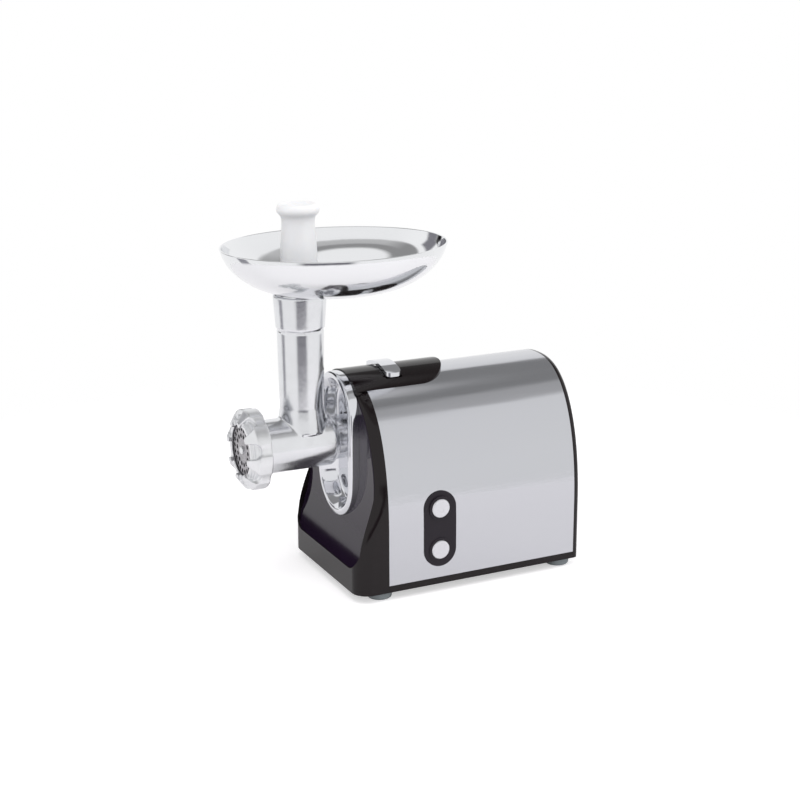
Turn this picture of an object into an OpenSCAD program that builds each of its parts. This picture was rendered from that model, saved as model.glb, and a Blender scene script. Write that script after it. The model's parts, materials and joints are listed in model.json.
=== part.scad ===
// Electric meat grinder: a geared motor in an arched steel casing drives a feed screw in a cast head.
// X runs from the head (-X) to the back (+X), Y is across, Z is up. The feet stand on z = 0.

/* [Casing] */
// Length of the steel casing wrap
wrap_l = 204.6; // [190:0.2:230]
// Half of the casing's width
wrap_hw = 80.9; // [74:0.1:90]
// Height of the casing's crest above the table
wrap_top = 204.8; // [198:0.1:215]
// Thickness of the steel sheet
wrap_t = 1.2; // [0.8:0.1:1.6]
// Height at which the straight sides turn into the arch
arch_z = 64.8; // [55:0.1:75]
// Height of the underside of the base pan
pan_z = 8.5; // [7:0.5:11]
// Height of the steel's lower edge
wrap_z = 15.3; // [13:0.1:18]
// Thickness of the moulded walls
wall = 2.6; // [2:0.1:3.4]
// Diameter of a rubber foot
foot_d = 26; // [20:1:30]
// Depth of the rounded rear cover behind the steel
rear_d = 6.4; // [5:0.1:10]

/* [Front cover] */
// How far the toe stands in front of the steel's edge
toe_d = 32.5; // [26:0.5:40]
// Height of the toe's upright face
toe_z = 40; // [32:1:48]
// How far the upper front face stands in front of the steel's edge
brow_d = 12.4; // [10:0.2:15]
// Height where the leaning front becomes upright
brow_z = 130; // [118:1:138]
// Depth of the recessed front panel
panel_step = 1.2; // [0.6:0.1:2]

/* [Hub] */
// Height of the feed screw's axis
axis_z = 144.75; // [138:0.25:150]
// Half-width of the oval bezel
bezel_hw = 39.5; // [34:0.5:44]
// Height of the bezel's lower end
bezel_z0 = 66; // [60:0.5:72]
// Height of the bezel's upper end
bezel_z1 = 210; // [204:0.5:213]
// How far the bezel stands in front of the panel
bezel_proud = 9; // [6:0.5:12]

/* [Top] */
// Half-width of the black top cover
hump_hw = 34; // [28:0.5:40]
// Height of the top cover's ridge
hump_top = 211; // [208:0.5:216]
// Rear end of the top cover
hump_end = 92; // [80:1:110]
// Centre of the release button along the casing
button_x = 33; // [28:0.5:45]
// Width of the release button's strap
strap_w = 16.5; // [12:0.5:20]
// Travel of the release button
release_travel = 3; // [2:0.1:3]

/* [Head] */
// Centre line of the feed tube
tube_x = -53; // [-56:0.5:-50]
// Radius of the barrel
barrel_r = 26; // [25:0.25:27]
// Radius of the feed screw's chamber
chamber_r = 22.4; // [21:0.1:23]
// Height of the feed tube's rim
tube_top = 289.7; // [280:0.5:300]
// Inner radius of the feed tube
tube_bore_r = 18; // [17.5:0.1:18.5]
// Front face of the ring nut
nut_front = -120; // [-122:0.5:-119]
// Outer radius of the ring nut
nut_r = 39; // [36:0.5:42]
// Number of grip lobes on the ring nut
lobes = 8; // [6:1:10]
// Radius of the cutting plate
plate_r = 27; // [26:0.1:27.5]
// Radius of a cutting plate hole
hole_r = 2.1; // [1:0.1:2.4]

/* [Tray and pusher] */
// Half-length of the food tray
tray_a = 110.2; // [95:0.5:125]
// Half-width of the food tray
tray_b = 90.4; // [80:0.5:100]
// Height of the tray's rim
tray_top = 334.4; // [325:0.5:345]
// Thickness of the tray's wall
tray_t = 1.2; // [0.8:0.1:2]
// Height of the pusher's cap
pusher_top = 374.7; // [360:0.5:390]
// Radius of the pusher's stem
pusher_r = 17.3; // [16.5:0.1:17.4]

/* [Controls] */
// Centre of the switch plate along the casing
switch_x = 54; // [48:1:70]
// Radius of the switch plate's round ends
switch_r = 17; // [14:0.5:19]
// Height of the lower button
power_z = 44; // [42:0.5:50]
// Height of the upper button
reverse_z = 86; // [80:0.5:90]
// Radius of a push button
push_r = 9.5; // [7:0.25:10.5]
// Travel of a push button
push_travel = 2.5; // [1.5:0.1:3]

/* [Gear train] */
// Teeth of the motor pinion
motor_teeth = 10; // [10:1:11]
// Teeth of the large first gear
first_teeth = 46; // [44:1:46]
// Tooth module of the first pair
first_module = 1.25; // [1.2:0.01:1.25]
// Teeth of the small second pinion
second_teeth = 12; // [12:1:13]
// Teeth of the large second gear
middle_teeth = 48; // [46:1:48]
// Tooth module of the second pair
second_module = 1.5; // [1.4:0.05:1.5]
// Teeth of the small third pinion
third_teeth = 12; // [12:1:13]
// Teeth of the output gear
output_teeth = 36; // [34:1:36]
// Tooth module of the third pair
third_module = 2; // [1.8:0.1:2]
// Height of the motor's shaft
motor_z = 72; // [70:0.5:74]

/* [Hidden] */
$fn = 64;
run_gap = 0.08;                    // radial clearance of a running fit
free_gap = 0.3;                    // gap between pieces that only pass each other
arch_py = 2.43;                    // exponent of the arch across
arch_pz = 2.21;                    // exponent of the arch upwards
arch_n = 40;                       // steps on each half of the arch
toe_round = 16;                    // rounding between the front and the sides
nose = 3.4 * wall;                 // depth of the front wall
toe_in = toe_d - nose;             // the toe's hollow
toe_in_r = min(toe_round, toe_in) - 0.1;
toe_in_y = wrap_hw - wall - toe_in_r;
panel_z = 32;                      // lower edge of the front panel
panel_low_d = toe_d - 0.6;         // depth of the panel at its lower edge
panel_high_d = brow_d - panel_step;
panel_t = 2.2;
panel_inset = 5.5;
bezel_x = -(brow_d + bezel_proud - 0.3);
bezel_floor = -5;
bezel_lip = 9;
bezel_step = 2.2;                  // the bezel's flange around the part that sinks into the panel
bezel_rear_z = wrap_top - panel_inset - 1;
neck_r = 21.5;
neck_end = 10;
latch_t = 2;
latch_x = -latch_t / 2;            // front face of the latch plate
arm_z = 193;
strap_gap = 0.3;
tray_x = tube_x + 36.5;
row_x = (wrap_l + rear_d + tray_x - tray_a) / 2;
nut_lip = 5.2;
nut_back = nut_front + 22;
plate_t = 5;
plate_front = nut_front + nut_lip + free_gap;
plate_back = plate_front + plate_t;
head_front = plate_front + 3;
thread_r = plate_r + 4;
nut_rim_r = plate_r + 1.5;          // front rim round the nut's mouth
nut_nose = 8;
notch_r = 7.5;
notch_step = 3.4;                  // how far the grip lobes stand before the rim in each notch
flute_r = 12;
flute_d = 2.2;
lobe_phase = 32.5 + 45;
socket_back = plate_back + 9.4;
barrel_back = -25;
knife_front = plate_back + 0.1;
knife_t = 6;
screw_front = knife_front + knife_t;
shank_r = 9;
tang = 10;
chamber_back = -32;
cup_z = tube_top - 34;
pusher_low = axis_z + chamber_r + 0.1;
tray_floor = tube_top + free_gap;
floor_z = pan_z + wall;
foot_x = [-3, wrap_l - 9];
foot_y = wrap_hw - 16.5;

latch_open = 6.5;                  // margin between the top cover's edge and the hole under it
hump_edge_z = arch_z + (wrap_top - arch_z) * pow(1 - pow(hump_hw / wrap_hw, arch_py), 1 / arch_pz);
hump_rise = hump_top - hump_edge_z;
hump_R = (hump_hw * hump_hw + hump_rise * hump_rise) / (2 * hump_rise);
strap_in = hump_R + 0.6;           // inner radius of the release button's strap
strap_t = 3.4;
channel_R = strap_in - release_travel - strap_gap;
stem_r = 2.6;
spring_r = 4.2;                    // outer radius of the release spring
spring_wire = 0.4;
spring_seat = wrap_top - 1.6;
strap_low = hump_top - hump_R + strap_in;   // underside of the strap over the stem
strap_hw = 25;
rear_wall = 2.4;
skirt = 8;
tab_x = wrap_l - skirt - 4;         // tabs inside the steel that take the rear cover's screws
rear_screw_at = [[-66, 40], [66, 40], [-30, 184], [30, 184]];
casing_boss_r = 5;
casing_boss_h = 22;
screw_r = 1.5;
screw_head_r = 3.1;
screw_head_h = 1.8;
gland_r = 6;
front_boss_at = [[-12, -40], [-12, 40]];
screw_to_foot = 2.3;
rear_boss_x = wrap_l - 6;
rear_boss_y = foot_y - foot_d / 2 - screw_head_r - screw_to_foot;
gland_from_boss = 16;
gland = [wrap_l, rear_boss_y - gland_from_boss, 36];   // centre of the cord gland in the rear cover
casing_screw_at = concat(front_boss_at, [[rear_boss_x, -rear_boss_y], [rear_boss_x, rear_boss_y]]);
foot_recess = 3;
hub_x = latch_x + latch_t + 1;
hub_r = 30;
tube_low_r = 21.2;
tube_high_r = 22.3;
cup_low_r = 23.3;
cup_high_r = 25.45;
cup_wall = 2.2;
bush_r = 12;
bush_back = -9;
flight_turns = 3;
flight_r = chamber_r - 0.5;
pin_r = 3.9;
tang_end = 13;
dish_foot = 0.42;
dish_p = 1.8;
dish_n = 72;
dish_steps = 10;
spigot_low = cup_z + 7;
spigot_r = cup_high_r - cup_wall - free_gap;
cap_r = 20;
button_z = [power_z, reverse_z];
block_front = -wrap_hw + 10.9;       // the switches behind the push buttons
cap_proud = push_travel + free_gap;  // a pressed button stays proud of its plate
cap_back = -wrap_hw + 4;
gear_x0 = 12;
gear_x1 = 60;
gear_x2 = 64;
gear_wall = 3;
third_x = [19, 33];
second_x = [36, 46];
first_x = [49, 57];
idler_r = 5;
output_r = 6;
coupling_r = 11;
coupling_x = 3;
first_gap = first_module * (motor_teeth + first_teeth) / 2;
second_gap = second_module * (second_teeth + middle_teeth) / 2;
third_gap = third_module * (third_teeth + output_teeth) / 2;
motor_at = [0, motor_z];
output_at = [0, axis_z];
first_at = motor_at + first_gap * [0.8, 0.6];
train_d = norm(first_at - output_at);
train_t = (train_d * train_d + second_gap * second_gap - third_gap * third_gap) / (2 * train_d);
train_u = (output_at - first_at) / train_d;
second_at = first_at + train_t * train_u
    + sqrt(second_gap * second_gap - train_t * train_t) * [-train_u[1], train_u[0]];
pressure = 25;
addendum = 0.9;
dedendum = 1.15;
backlash = 0.15;
bush_l = 5;
bushes = [[output_at, coupling_r, coupling_r + 3, gear_x0], [first_at, idler_r, idler_r + 2.5, gear_x0],
    [second_at, idler_r, idler_r + 2.5, gear_x0], [output_at, output_r, output_r + 2.5, gear_x2 - bush_l],
    [first_at, idler_r, idler_r + 2.5, gear_x2 - bush_l], [second_at, idler_r, idler_r + 2.5,
        gear_x2 - bush_l]];
gear_room = 1.6;                   // from a gear's tips to the housing
motor_bore_r = 14;
chambers = [[output_at, third_module * (output_teeth / 2 + addendum) + gear_room],
    [second_at, second_module * (middle_teeth / 2 + addendum) + gear_room],
    [first_at, first_module * (first_teeth / 2 + addendum) + gear_room], [motor_at, motor_bore_r]];
gearbox_screw_at = [
    for (c = [[0, 50], [0, 130], [1, 160], [1, 225], [2, 0], [2, -50]])
        chambers[c[0]][0] + polar(chambers[c[0]][1] + gear_wall, c[1])];
gearbox_y = second_at[0] - chambers[1][1] - gear_wall;      // side of the gearbox near the switches
block_back = min(block_front + 10.5, gearbox_y - 2 * free_gap);
gear_leg_x = 20;
stand_screw_at = [for (x = [gear_leg_x + 8, 62, 174], s = [-1, 1]) [x, s * (x < 40 ? 45 : 29)]];
motor_shaft_r = 4;
motor_half = 37;                   // half of the stator's square
stack_x = [96, 134];
bracket_x = [68, 166];
bracket_t = 4;
bearing_r = 11;
bearing_l = 7;
bearing_x = [bracket_x[0] - 2, bracket_x[1] - 1.5];
rotor_r = 20.5;
tie_at = 31;
brush_x = [149, 157];
board_z = 18;
board_t = 1.6;
board = [64, 26];
board_at = [118, wrap_hw - 32.9];
board_pegs = [for (x = [6, board[0] - 6], y = [4, board[1] - 4]) board_at + [x, y]];
gland_bore_r = 3.6;

// Moves a piece from the casing's own frame, with x = 0 at the steel's front edge, to the part's frame.
module row() translate([-row_x, 0, 0]) children();

// An outline in Y and Z, extruded from x0 to x1.
module along_x(x0, x1) translate([x0, 0, 0]) rotate([90, 0, 90]) linear_extrude(x1 - x0) children();

// An outline in X and Z, extruded from y0 to y1.
module along_y(y0, y1) translate([0, y1, 0]) rotate([90, 0, 0]) linear_extrude(y1 - y0) children();

// A round bar along X.
module bar_x(r, x0, x1, y = 0, z = axis_z) translate([x0, y, z]) rotate([0, 90, 0]) cylinder(r = r,
    h = x1 - x0);

// A pan-head screw that points along +Z, with its head's underside at z = 0.
module screw(r, length, head_r, head_h) {
    cylinder(r = r, h = length);
    difference() {
        translate([0, 0, -head_h]) cylinder(r = head_r, h = head_h);
        for (a = [0, 90]) translate([0, 0, -head_h]) rotate(a)
            cube([head_r * 1.2, head_r * 0.28, head_h], center = true);
    }
}

// The same screw, pointing along -X from a face at x.
module screw_x(x, y, z, r, length, head_r, head_h) translate([x, y, z]) rotate([0, -90, 0])
    screw(r, length, head_r, head_h);

// One half of the arch, from its springing to its crest, moved inwards.
function arch_side(inset) = [for (i = [0 : arch_n]) let (t = 90 * i / arch_n)
    [(wrap_hw - inset) * pow(cos(t), 2 / arch_py),
     arch_z + (wrap_top - inset - arch_z) * pow(sin(t), 2 / arch_pz)]];

function mirrored(side) = [for (i = [len(side) - 2 : -1 : 0]) [-side[i][0], side[i][1]]];

// The whole arch, down to a given height.
function arch(inset, low) = let (side = concat([[wrap_hw - inset, low]], arch_side(inset)))
    concat(side, mirrored(side));

// A tall oval between two heights.
module oval(hw, z0, z1) {
    translate([0, z0 + hw]) circle(hw);
    translate([0, z1 - hw]) circle(hw);
    translate([-hw, z0 + hw]) square([2 * hw, z1 - z0 - 2 * hw]);
}

// A closed skin over a grid of points: rows run from one side to the other, columns from back to front.
module skin(grid) {
    m = len(grid);
    k = len(grid[0]);
    half = floor(m / 2);
    points = [for (ring = grid) for (p = ring) p];
    sides = [for (i = [0 : m - 2]) for (j = [0 : k - 2])
        [(i + 1) * k + j, (i + 1) * k + j + 1, i * k + j + 1, i * k + j]];
    front = [for (i = [0 : half - 1]) i == half - 1
        ? [(i + 1) * k + k - 1, (m - 1 - i) * k + k - 1, i * k + k - 1]
        : [(i + 1) * k + k - 1, (m - 2 - i) * k + k - 1, (m - 1 - i) * k + k - 1, i * k + k - 1]];
    bottom = [concat([for (j = [k - 1 : -1 : 0]) (m - 1) * k + j], [for (j = [0 : k - 1]) j])];
    back = [[for (i = [m - 1 : -1 : 0]) ((i + half) % m) * k]];
    polyhedron(points, concat(sides, front, bottom, back), convexity = 6);
}

// How far the front stands before the steel's edge at height z.
function front_d(z) = brow_d + (toe_d - brow_d)
    * (z <= toe_z ? 1 : z >= brow_z ? 0 : (1 + cos(180 * (z - toe_z) / (brow_z - toe_z))) / 2);

// The panel's depth at height z: a hollow curve from the toe up to the upright part.
function panel_d(z) = panel_high_d + (panel_low_d - panel_high_d)
    * pow(max(0, 1 - (z - panel_z) / (brow_z - panel_z)), 2.2);

// Inward normal of the arch at a point of it.
function arch_normal(p) = let (
    ny = pow(abs(p[0]) / wrap_hw, arch_py - 1) / wrap_hw * sign(p[0]),
    nz = p[1] <= arch_z ? 0 : pow((p[1] - arch_z) / (wrap_top - arch_z), arch_pz - 1) / (wrap_top - arch_z),
    n = norm([ny, nz])) n == 0 ? [0, -1] : [-ny / n, -nz / n];

// Points of the front cover's outside, or of its hollow where off is the wall.
function cover_grid(off, nose, low) = let (
    side = concat([for (i = [0 : 6]) [wrap_hw, low + (arch_z - low) * i / 7]], arch_side(0)),
    ring = concat(side, mirrored(side)))
    [for (p = ring) let (n = arch_normal(p), d = front_d(p[1]) - nose, r = min(toe_round, d) - 0.1)
        [for (j = [-1 : 6]) let (a = 15 * max(j, 0), inset = off + r * (1 - cos(a)))
            [j < 0 ? (off > 0 ? 1 : 0) : -(d - r) - r * sin(a),
             p[0] + n[0] * inset, p[1] + n[1] * inset]]];

// Outline of the front panel's seat, moved inwards.
function panel_outline(inset) = let (
    r = 20, hw = wrap_hw - panel_inset - inset,
    corner = [for (i = [0 : 7]) [hw - r + r * sin(90 * i / 8), panel_z + inset + r - r * cos(90 * i / 8)]],
    side = concat(corner, arch_side(panel_inset + inset)))
    concat(side, mirrored(side));

// Everything in front of the panel's surface, moved back by a depth.
module before_panel(back) along_y(-wrap_hw, wrap_hw) polygon(concat(
    [[-80, panel_z - 10], [back - panel_low_d, panel_z - 10]],
    [for (i = [0 : 28]) let (z = panel_z + (brow_z - panel_z) * i / 28) [back - panel_d(z), z]],
    [[back - panel_high_d, wrap_top + 20], [-80, wrap_top + 20]]));

module front_cover() color("#231f22") row() difference() {
    union() {
        difference() {
            skin(cover_grid(0, 0, pan_z));
            skin(cover_grid(wall, nose, pan_z - 1));
        }
        intersection() {
            hump_plan(0, -panel_high_d, wrap_top - 20, wrap_top + 20);
            along_x(-panel_high_d, 0) difference() {
                polygon(arch(0, 0));
                polygon(arch(wall, -1));
            }
        }
        for (p = front_boss_at) {
            translate([p[0], p[1], floor_z]) cylinder(r = casing_boss_r, h = casing_boss_h - 2);
            translate([-toe_d + wall, p[1] - 2, floor_z]) cube([toe_d - wall + p[0], 4, casing_boss_h - 2]);
        }
    }
    for (p = front_boss_at) translate([p[0], p[1], 0]) cylinder(r = screw_r, h = floor_z + 14);
    intersection() {
        along_x(-80, 5) polygon(panel_outline(0));
        before_panel(panel_t);
    }
    along_x(-80, 5) polygon(panel_outline(4));
    along_x(-80, free_gap - panel_high_d) oval(bezel_hw + free_gap, bezel_z0 - free_gap,
        bezel_z1 + free_gap);
    along_x(-80, 5) oval(bezel_hw - bezel_step + free_gap, bezel_z0, bezel_rear_z + free_gap);
}

module front_panel() color("#3a3540") row() difference() {
    intersection() {
        along_x(-60, 0) polygon(panel_outline(0.25));
        before_panel(panel_t);
    }
    before_panel(0);
    along_x(-80, 5) oval(bezel_hw - 2, bezel_z0 + 2, bezel_z1 - 2);
    along_x(-80, -panel_high_d) oval(bezel_hw + 0.1, bezel_z0 - 0.1, bezel_z1 + 0.1);
}

// The oval bezel: a thick rim with a bowl that narrows to the floor around the neck.
module bezel() color("#d8d9dd") row() difference() {
    union() {
        along_x(bezel_x, -panel_high_d) oval(bezel_hw, bezel_z0, bezel_z1);
        along_x(bezel_x, bezel_floor + 2) oval(bezel_hw - bezel_step, bezel_z0 + bezel_step, bezel_rear_z);
    }
    hull() {
        along_x(bezel_x - 1, bezel_x) oval(bezel_hw - bezel_lip, bezel_z0 + bezel_lip,
            bezel_z1 - bezel_lip, $fn = 48);
        along_x(bezel_floor - 1, bezel_floor) oval(bezel_hw - 14, bezel_z0 + 17, bezel_z1 - 17, $fn = 48);
    }
    bar_x(neck_r + 1, bezel_floor - 2, 0);
}

module steel_wrap() color("#c4c6ca") row() difference() {
    union() {
        difference() {
            along_x(0, wrap_l) polygon(arch(0, wrap_z));
            along_x(-1, wrap_l + 1) polygon(arch(wrap_t, wrap_z - 1));
        }
        intersection() {
            along_x(tab_x, tab_x + 4) polygon(arch(wrap_t / 2, wrap_z));
            for (p = rear_screw_at) translate([0, p[0] - 5, p[1] - 5]) {
                if (p[1] < arch_z) translate([0, p[0] < 0 ? -40 : 0, 0]) cube([wrap_l, 50, 10]);
                else cube([wrap_l, 10, 50]);
            }
        }
    }
    for (p = rear_screw_at) bar_x(screw_r, tab_x - 1, wrap_l, p[0], p[1]);
    hump_plan(latch_open, -1, wrap_top - 40, wrap_top + 20);
    along_y(-wrap_hw - 1, 0) switch_outline(switch_r - 1.3);
}

// The switch plate's outline in X and Z.
module switch_outline(r) for (z = [power_z, reverse_z]) {
    translate([switch_x, z]) circle(r);
    translate([switch_x - r, power_z]) square([2 * r, reverse_z - power_z]);
}

// The top cover's plan: straight sides and a round rear end, between two heights.
module hump_plan(inset, x0, z0, z1) translate([0, 0, z0]) linear_extrude(z1 - z0) {
    translate([x0, -hump_hw + inset]) square([hump_end - hump_hw - x0, 2 * (hump_hw - inset)]);
    translate([hump_end - hump_hw, 0]) circle(hump_hw - inset);
}

// A full round bar of the hump's curvature along X.
module hump_bar(r, x0, x1) bar_x(r, x0, x1, 0, hump_top - hump_R, $fn = 180);

module top_cover() color("#1e1b1d") row() difference() {
    intersection() {
        hump_bar(hump_R, -panel_high_d, hump_end + 1);
        union() {
            difference() {
                hump_plan(0, -panel_high_d, wrap_top - 20, wrap_top + 20);
                along_x(-40, wrap_l) polygon(arch(0, 0));
            }
            difference() {
                hump_plan(latch_open + 0.2, 0.4, wrap_top - 20, wrap_top + 20);
                along_x(-40, wrap_l) polygon(arch(4, 0));
            }
        }
    }
    difference() {
        translate([button_x - strap_w / 2 - free_gap, -strap_hw - free_gap, arch_z])
            cube([strap_w + 2 * free_gap, 2 * (strap_hw + free_gap), hump_top]);
        hump_bar(channel_R, button_x - strap_w, button_x + strap_w);
    }
    translate([button_x, 0, wrap_top - 20]) cylinder(r = stem_r + free_gap, h = 40);
    translate([button_x, 0, spring_seat]) cylinder(r = spring_r + 0.7, h = 20);
}

module release_button() color("#d4d5d9") row() {
    difference() {
        intersection() {
            hump_bar(strap_in + strap_t, button_x - strap_w / 2, button_x + strap_w / 2);
            translate([0, 0, wrap_top - 20]) linear_extrude(60) strap_plan();
        }
        hump_bar(strap_in, 0, 80);
        translate([0, 0, -1]) cube([200, 200, 2 * (wrap_top - 4)], center = true);
    }
    translate([button_x, 0, arm_z]) cylinder(r = stem_r, h = strap_low + 0.5 - arm_z);
}

// Plan of the strap: two round-cornered ends across the casing.
module strap_plan() for (s = [-1, 1]) {
    r = 5;
    for (x = [-1, 1]) translate([button_x + x * (strap_w / 2 - r), s * (strap_hw - r)]) circle(r);
    translate([button_x - strap_w / 2 + r, -strap_hw]) square([strap_w - 2 * r, 2 * strap_hw]);
    translate([button_x - strap_w / 2, -strap_hw + r]) square([strap_w, 2 * (strap_hw - r)]);
}

module latch_plate() color("#a9abae") row() {
    translate([latch_x, -8, arm_z - latch_t]) cube([button_x - latch_x + 8, 16, latch_t]);
    along_x(latch_x, latch_x + latch_t) difference() {
        union() {
            translate([0, axis_z]) circle(neck_r + 9);
            translate([-16, axis_z]) square([32, arm_z - axis_z - latch_t / 2]);
        }
        difference() {
            union() {
                for (dz = [free_gap, -release_travel - free_gap]) translate([0, axis_z - dz])
                    circle(neck_r + free_gap);
                translate([-neck_r - free_gap, axis_z]) square([2 * (neck_r + free_gap),
                    1.5 * release_travel]);
            }
            translate([-3, axis_z - neck_r - 6]) square([6, 7.5]);
        }
    }
}

// A helical spring along Z, between two heights.
module coil(r, wire, z0, z1, turns) {
    n = 14 * turns;
    k = 6;
    low = z0 + wire;
    rise = z1 - z0 - 2 * wire;
    points = [for (i = [0 : n]) for (j = [0 : k - 1])
        let (a = 360 * turns * i / n, b = 360 * j / k, q = r - wire + wire * cos(b))
        [q * cos(a), q * sin(a), low + rise * i / n + wire * sin(b)]];
    sides = [for (i = [0 : n - 1]) for (j = [0 : k - 1])
        [i * k + j, i * k + (j + 1) % k, (i + 1) * k + (j + 1) % k, (i + 1) * k + j]];
    polyhedron(points, concat(sides, [[for (j = [k - 1 : -1 : 0]) j]],
        [[for (j = [0 : k - 1]) n * k + j]]), convexity = 10);
}

module release_spring() color("#b8babd") row() translate([button_x, 0, 0])
    coil(spring_r, spring_wire, spring_seat, strap_low - 0.02, 4);

// Rear cover: it rounds inwards behind the steel's edge, and its skirt sits inside the steel.
function rear_grid(off, x1) = let (
    side = concat([[wrap_hw, off > 0 ? pan_z + rear_wall : pan_z]], arch_side(0)),
    ring = concat(side, mirrored(side)), r = rear_d - 1)
    [for (i = [len(ring) - 1 : -1 : 0]) let (p = ring[i], n = arch_normal(p))
        [for (j = [-1 : 5]) let (a = 18 * max(j, 0), inset = off + r * (1 - cos(a)) * 0.8)
            [j < 0 ? wrap_l - (off > 0 ? 1 : 0) : x1 - r + r * sin(a),
             p[0] + n[0] * inset, p[1] + n[1] * inset]]];

module rear_cover() color("#262326") row() difference() {
    union() {
        skin(rear_grid(0, wrap_l + rear_d));
        along_x(wrap_l - skirt, wrap_l + 0.5) difference() {
            polygon(arch(wrap_t, floor_z + 6));
            polygon(arch(wrap_t + rear_wall, floor_z + 5));
        }
        for (p = rear_screw_at) bar_x(4.5, wrap_l - skirt, wrap_l + rear_d - rear_wall, p[0], p[1]);
        for (y = [-rear_boss_y, rear_boss_y]) translate([rear_boss_x, y, floor_z])
            cylinder(r = casing_boss_r, h = casing_boss_h);
        for (y = [-rear_boss_y, rear_boss_y]) translate([rear_boss_x, y - 2, floor_z])
            cube([9, 4, casing_boss_h]);
    }
    along_x(wrap_l - 0.5, wrap_l + rear_d - rear_wall) difference() {
        polygon(arch(wrap_t + rear_wall + 1.5, pan_z + rear_wall));
        for (p = rear_screw_at) translate(p) circle(4.5);
        for (y = [-rear_boss_y, rear_boss_y]) translate([y - 2, 0]) square([4, floor_z + casing_boss_h]);
        translate([gland[1], gland[2]]) circle(gland_r + 3);
    }
    for (z = [70 : 9 : 151], y = [-24, 24]) along_x(wrap_l, wrap_l + 20) vent(y, z, 34);
    bar_x(gland_r + 0.05, wrap_l - 9, wrap_l + 20, gland[1], gland[2]);
    for (p = rear_screw_at) {
        bar_x(screw_r, wrap_l - 20, wrap_l + 20, p[0], p[1]);
        bar_x(screw_head_r + free_gap, wrap_l + rear_d - screw_head_h, wrap_l + 20, p[0], p[1]);
    }
    for (y = [-rear_boss_y, rear_boss_y]) translate([rear_boss_x, y, 0])
        cylinder(r = screw_r, h = floor_z + 14);
}

// A round-ended slot across Y.
module vent(y, z, length) {
    for (s = [-1, 1]) translate([y + s * (length / 2 - 1.7), z]) circle(1.7);
    translate([y - length / 2 + 1.7, z - 1.7]) square([length - 3.4, 3.4]);
}

module rear_screws() color("#8d8f94") row() for (p = rear_screw_at)
    screw_x(wrap_l + rear_d - screw_head_h, p[0], p[1], screw_r, 16, screw_head_r, screw_head_h - 0.3);

module base_pan() color("#242124") row() difference() {
    union() {
        translate([0, -wrap_hw, pan_z]) cube([wrap_l, 2 * wrap_hw, wrap_z - pan_z]);
        translate([0, 0, pan_z]) linear_extrude(wall) {
            translate([-toe_in + free_gap, -toe_in_y]) square([toe_in + 2, 2 * toe_in_y]);
            translate([toe_in_r - toe_in, -wrap_hw + wall + free_gap]) square([toe_in - toe_in_r + 2,
                2 * (wrap_hw - wall - free_gap)]);
            for (s = [-1, 1]) translate([toe_in_r - toe_in, s * toe_in_y]) circle(toe_in_r - free_gap);
        }
        for (s = [-1, 1]) translate([3, s * (wrap_hw - wrap_t - wall / 2) - wall / 2, pan_z])
            cube([wrap_l - 12, wall, wrap_z + 9 - pan_z]);
        for (x = foot_x, s = [-1, 1]) translate([x, s * foot_y, pan_z]) cylinder(r = 5, h = 11);
        for (p = board_pegs) translate([p[0], p[1], pan_z]) cylinder(r = 3, h = board_z - pan_z);
    }
    difference() {
        translate([-1, -wrap_hw + wrap_t + wall, floor_z]) cube([wrap_l + 2,
            2 * (wrap_hw - wrap_t - wall), 40]);
        for (x = foot_x, s = [-1, 1]) translate([x, s * foot_y, pan_z]) cylinder(r = 5, h = 11);
        for (p = board_pegs) translate([p[0], p[1], pan_z]) cylinder(r = 3, h = board_z - pan_z);
    }
    for (x = [84 : 8 : 140]) for (s = [-1, 1]) translate([x, s * 30 - 10, pan_z - 1]) cube([3, 20, 10]);
    for (x = foot_x, s = [-1, 1]) translate([x, s * foot_y, pan_z - 1]) cylinder(r = screw_r, h = 11);
    for (p = casing_screw_at) translate([p[0], p[1], pan_z - 1]) cylinder(r = screw_r, h = 10);
    for (p = stand_screw_at) translate([p[0], p[1], pan_z - 1]) cylinder(r = screw_r, h = 10);
}

module rubber_feet() color("#6f7678") row() for (x = foot_x, s = [-1, 1]) translate([x, s * foot_y, 0])
    rotate_extrude() polygon(concat(
        [[screw_r + 0.4, foot_recess], [screw_head_r + 1, foot_recess], [screw_head_r + 1, 0]],
        [for (a = [0 : 15 : 90]) [foot_d / 2 - 3 + 2 * sin(a), 2 - 2 * cos(a)]],
        [[foot_d / 2, pan_z], [screw_r + 0.4, pan_z]]));

module foot_screws() color("#8d8f94") row() for (x = foot_x, s = [-1, 1]) translate([x, s * foot_y,
    foot_recess])
    screw(screw_r, pan_z + 5, screw_head_r, screw_head_h);

module casing_screws() color("#8d8f94") row() {
    for (p = casing_screw_at) translate([p[0], p[1], pan_z]) screw(screw_r, 12, screw_head_r, screw_head_h);
    for (p = stand_screw_at) translate([p[0], p[1], pan_z]) screw(screw_r, 8, screw_head_r, screw_head_h);
}

module hub_socket() color("#9a9da1") row() difference() {
    union() {
        bar_x(hub_r, hub_x, gear_x0);
        bar_x(hub_r + 6, gear_x0 - 3, gear_x0);
    }
    bar_x(neck_r + run_gap, hub_x - 1, gear_x0 + 1);
}

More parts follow.
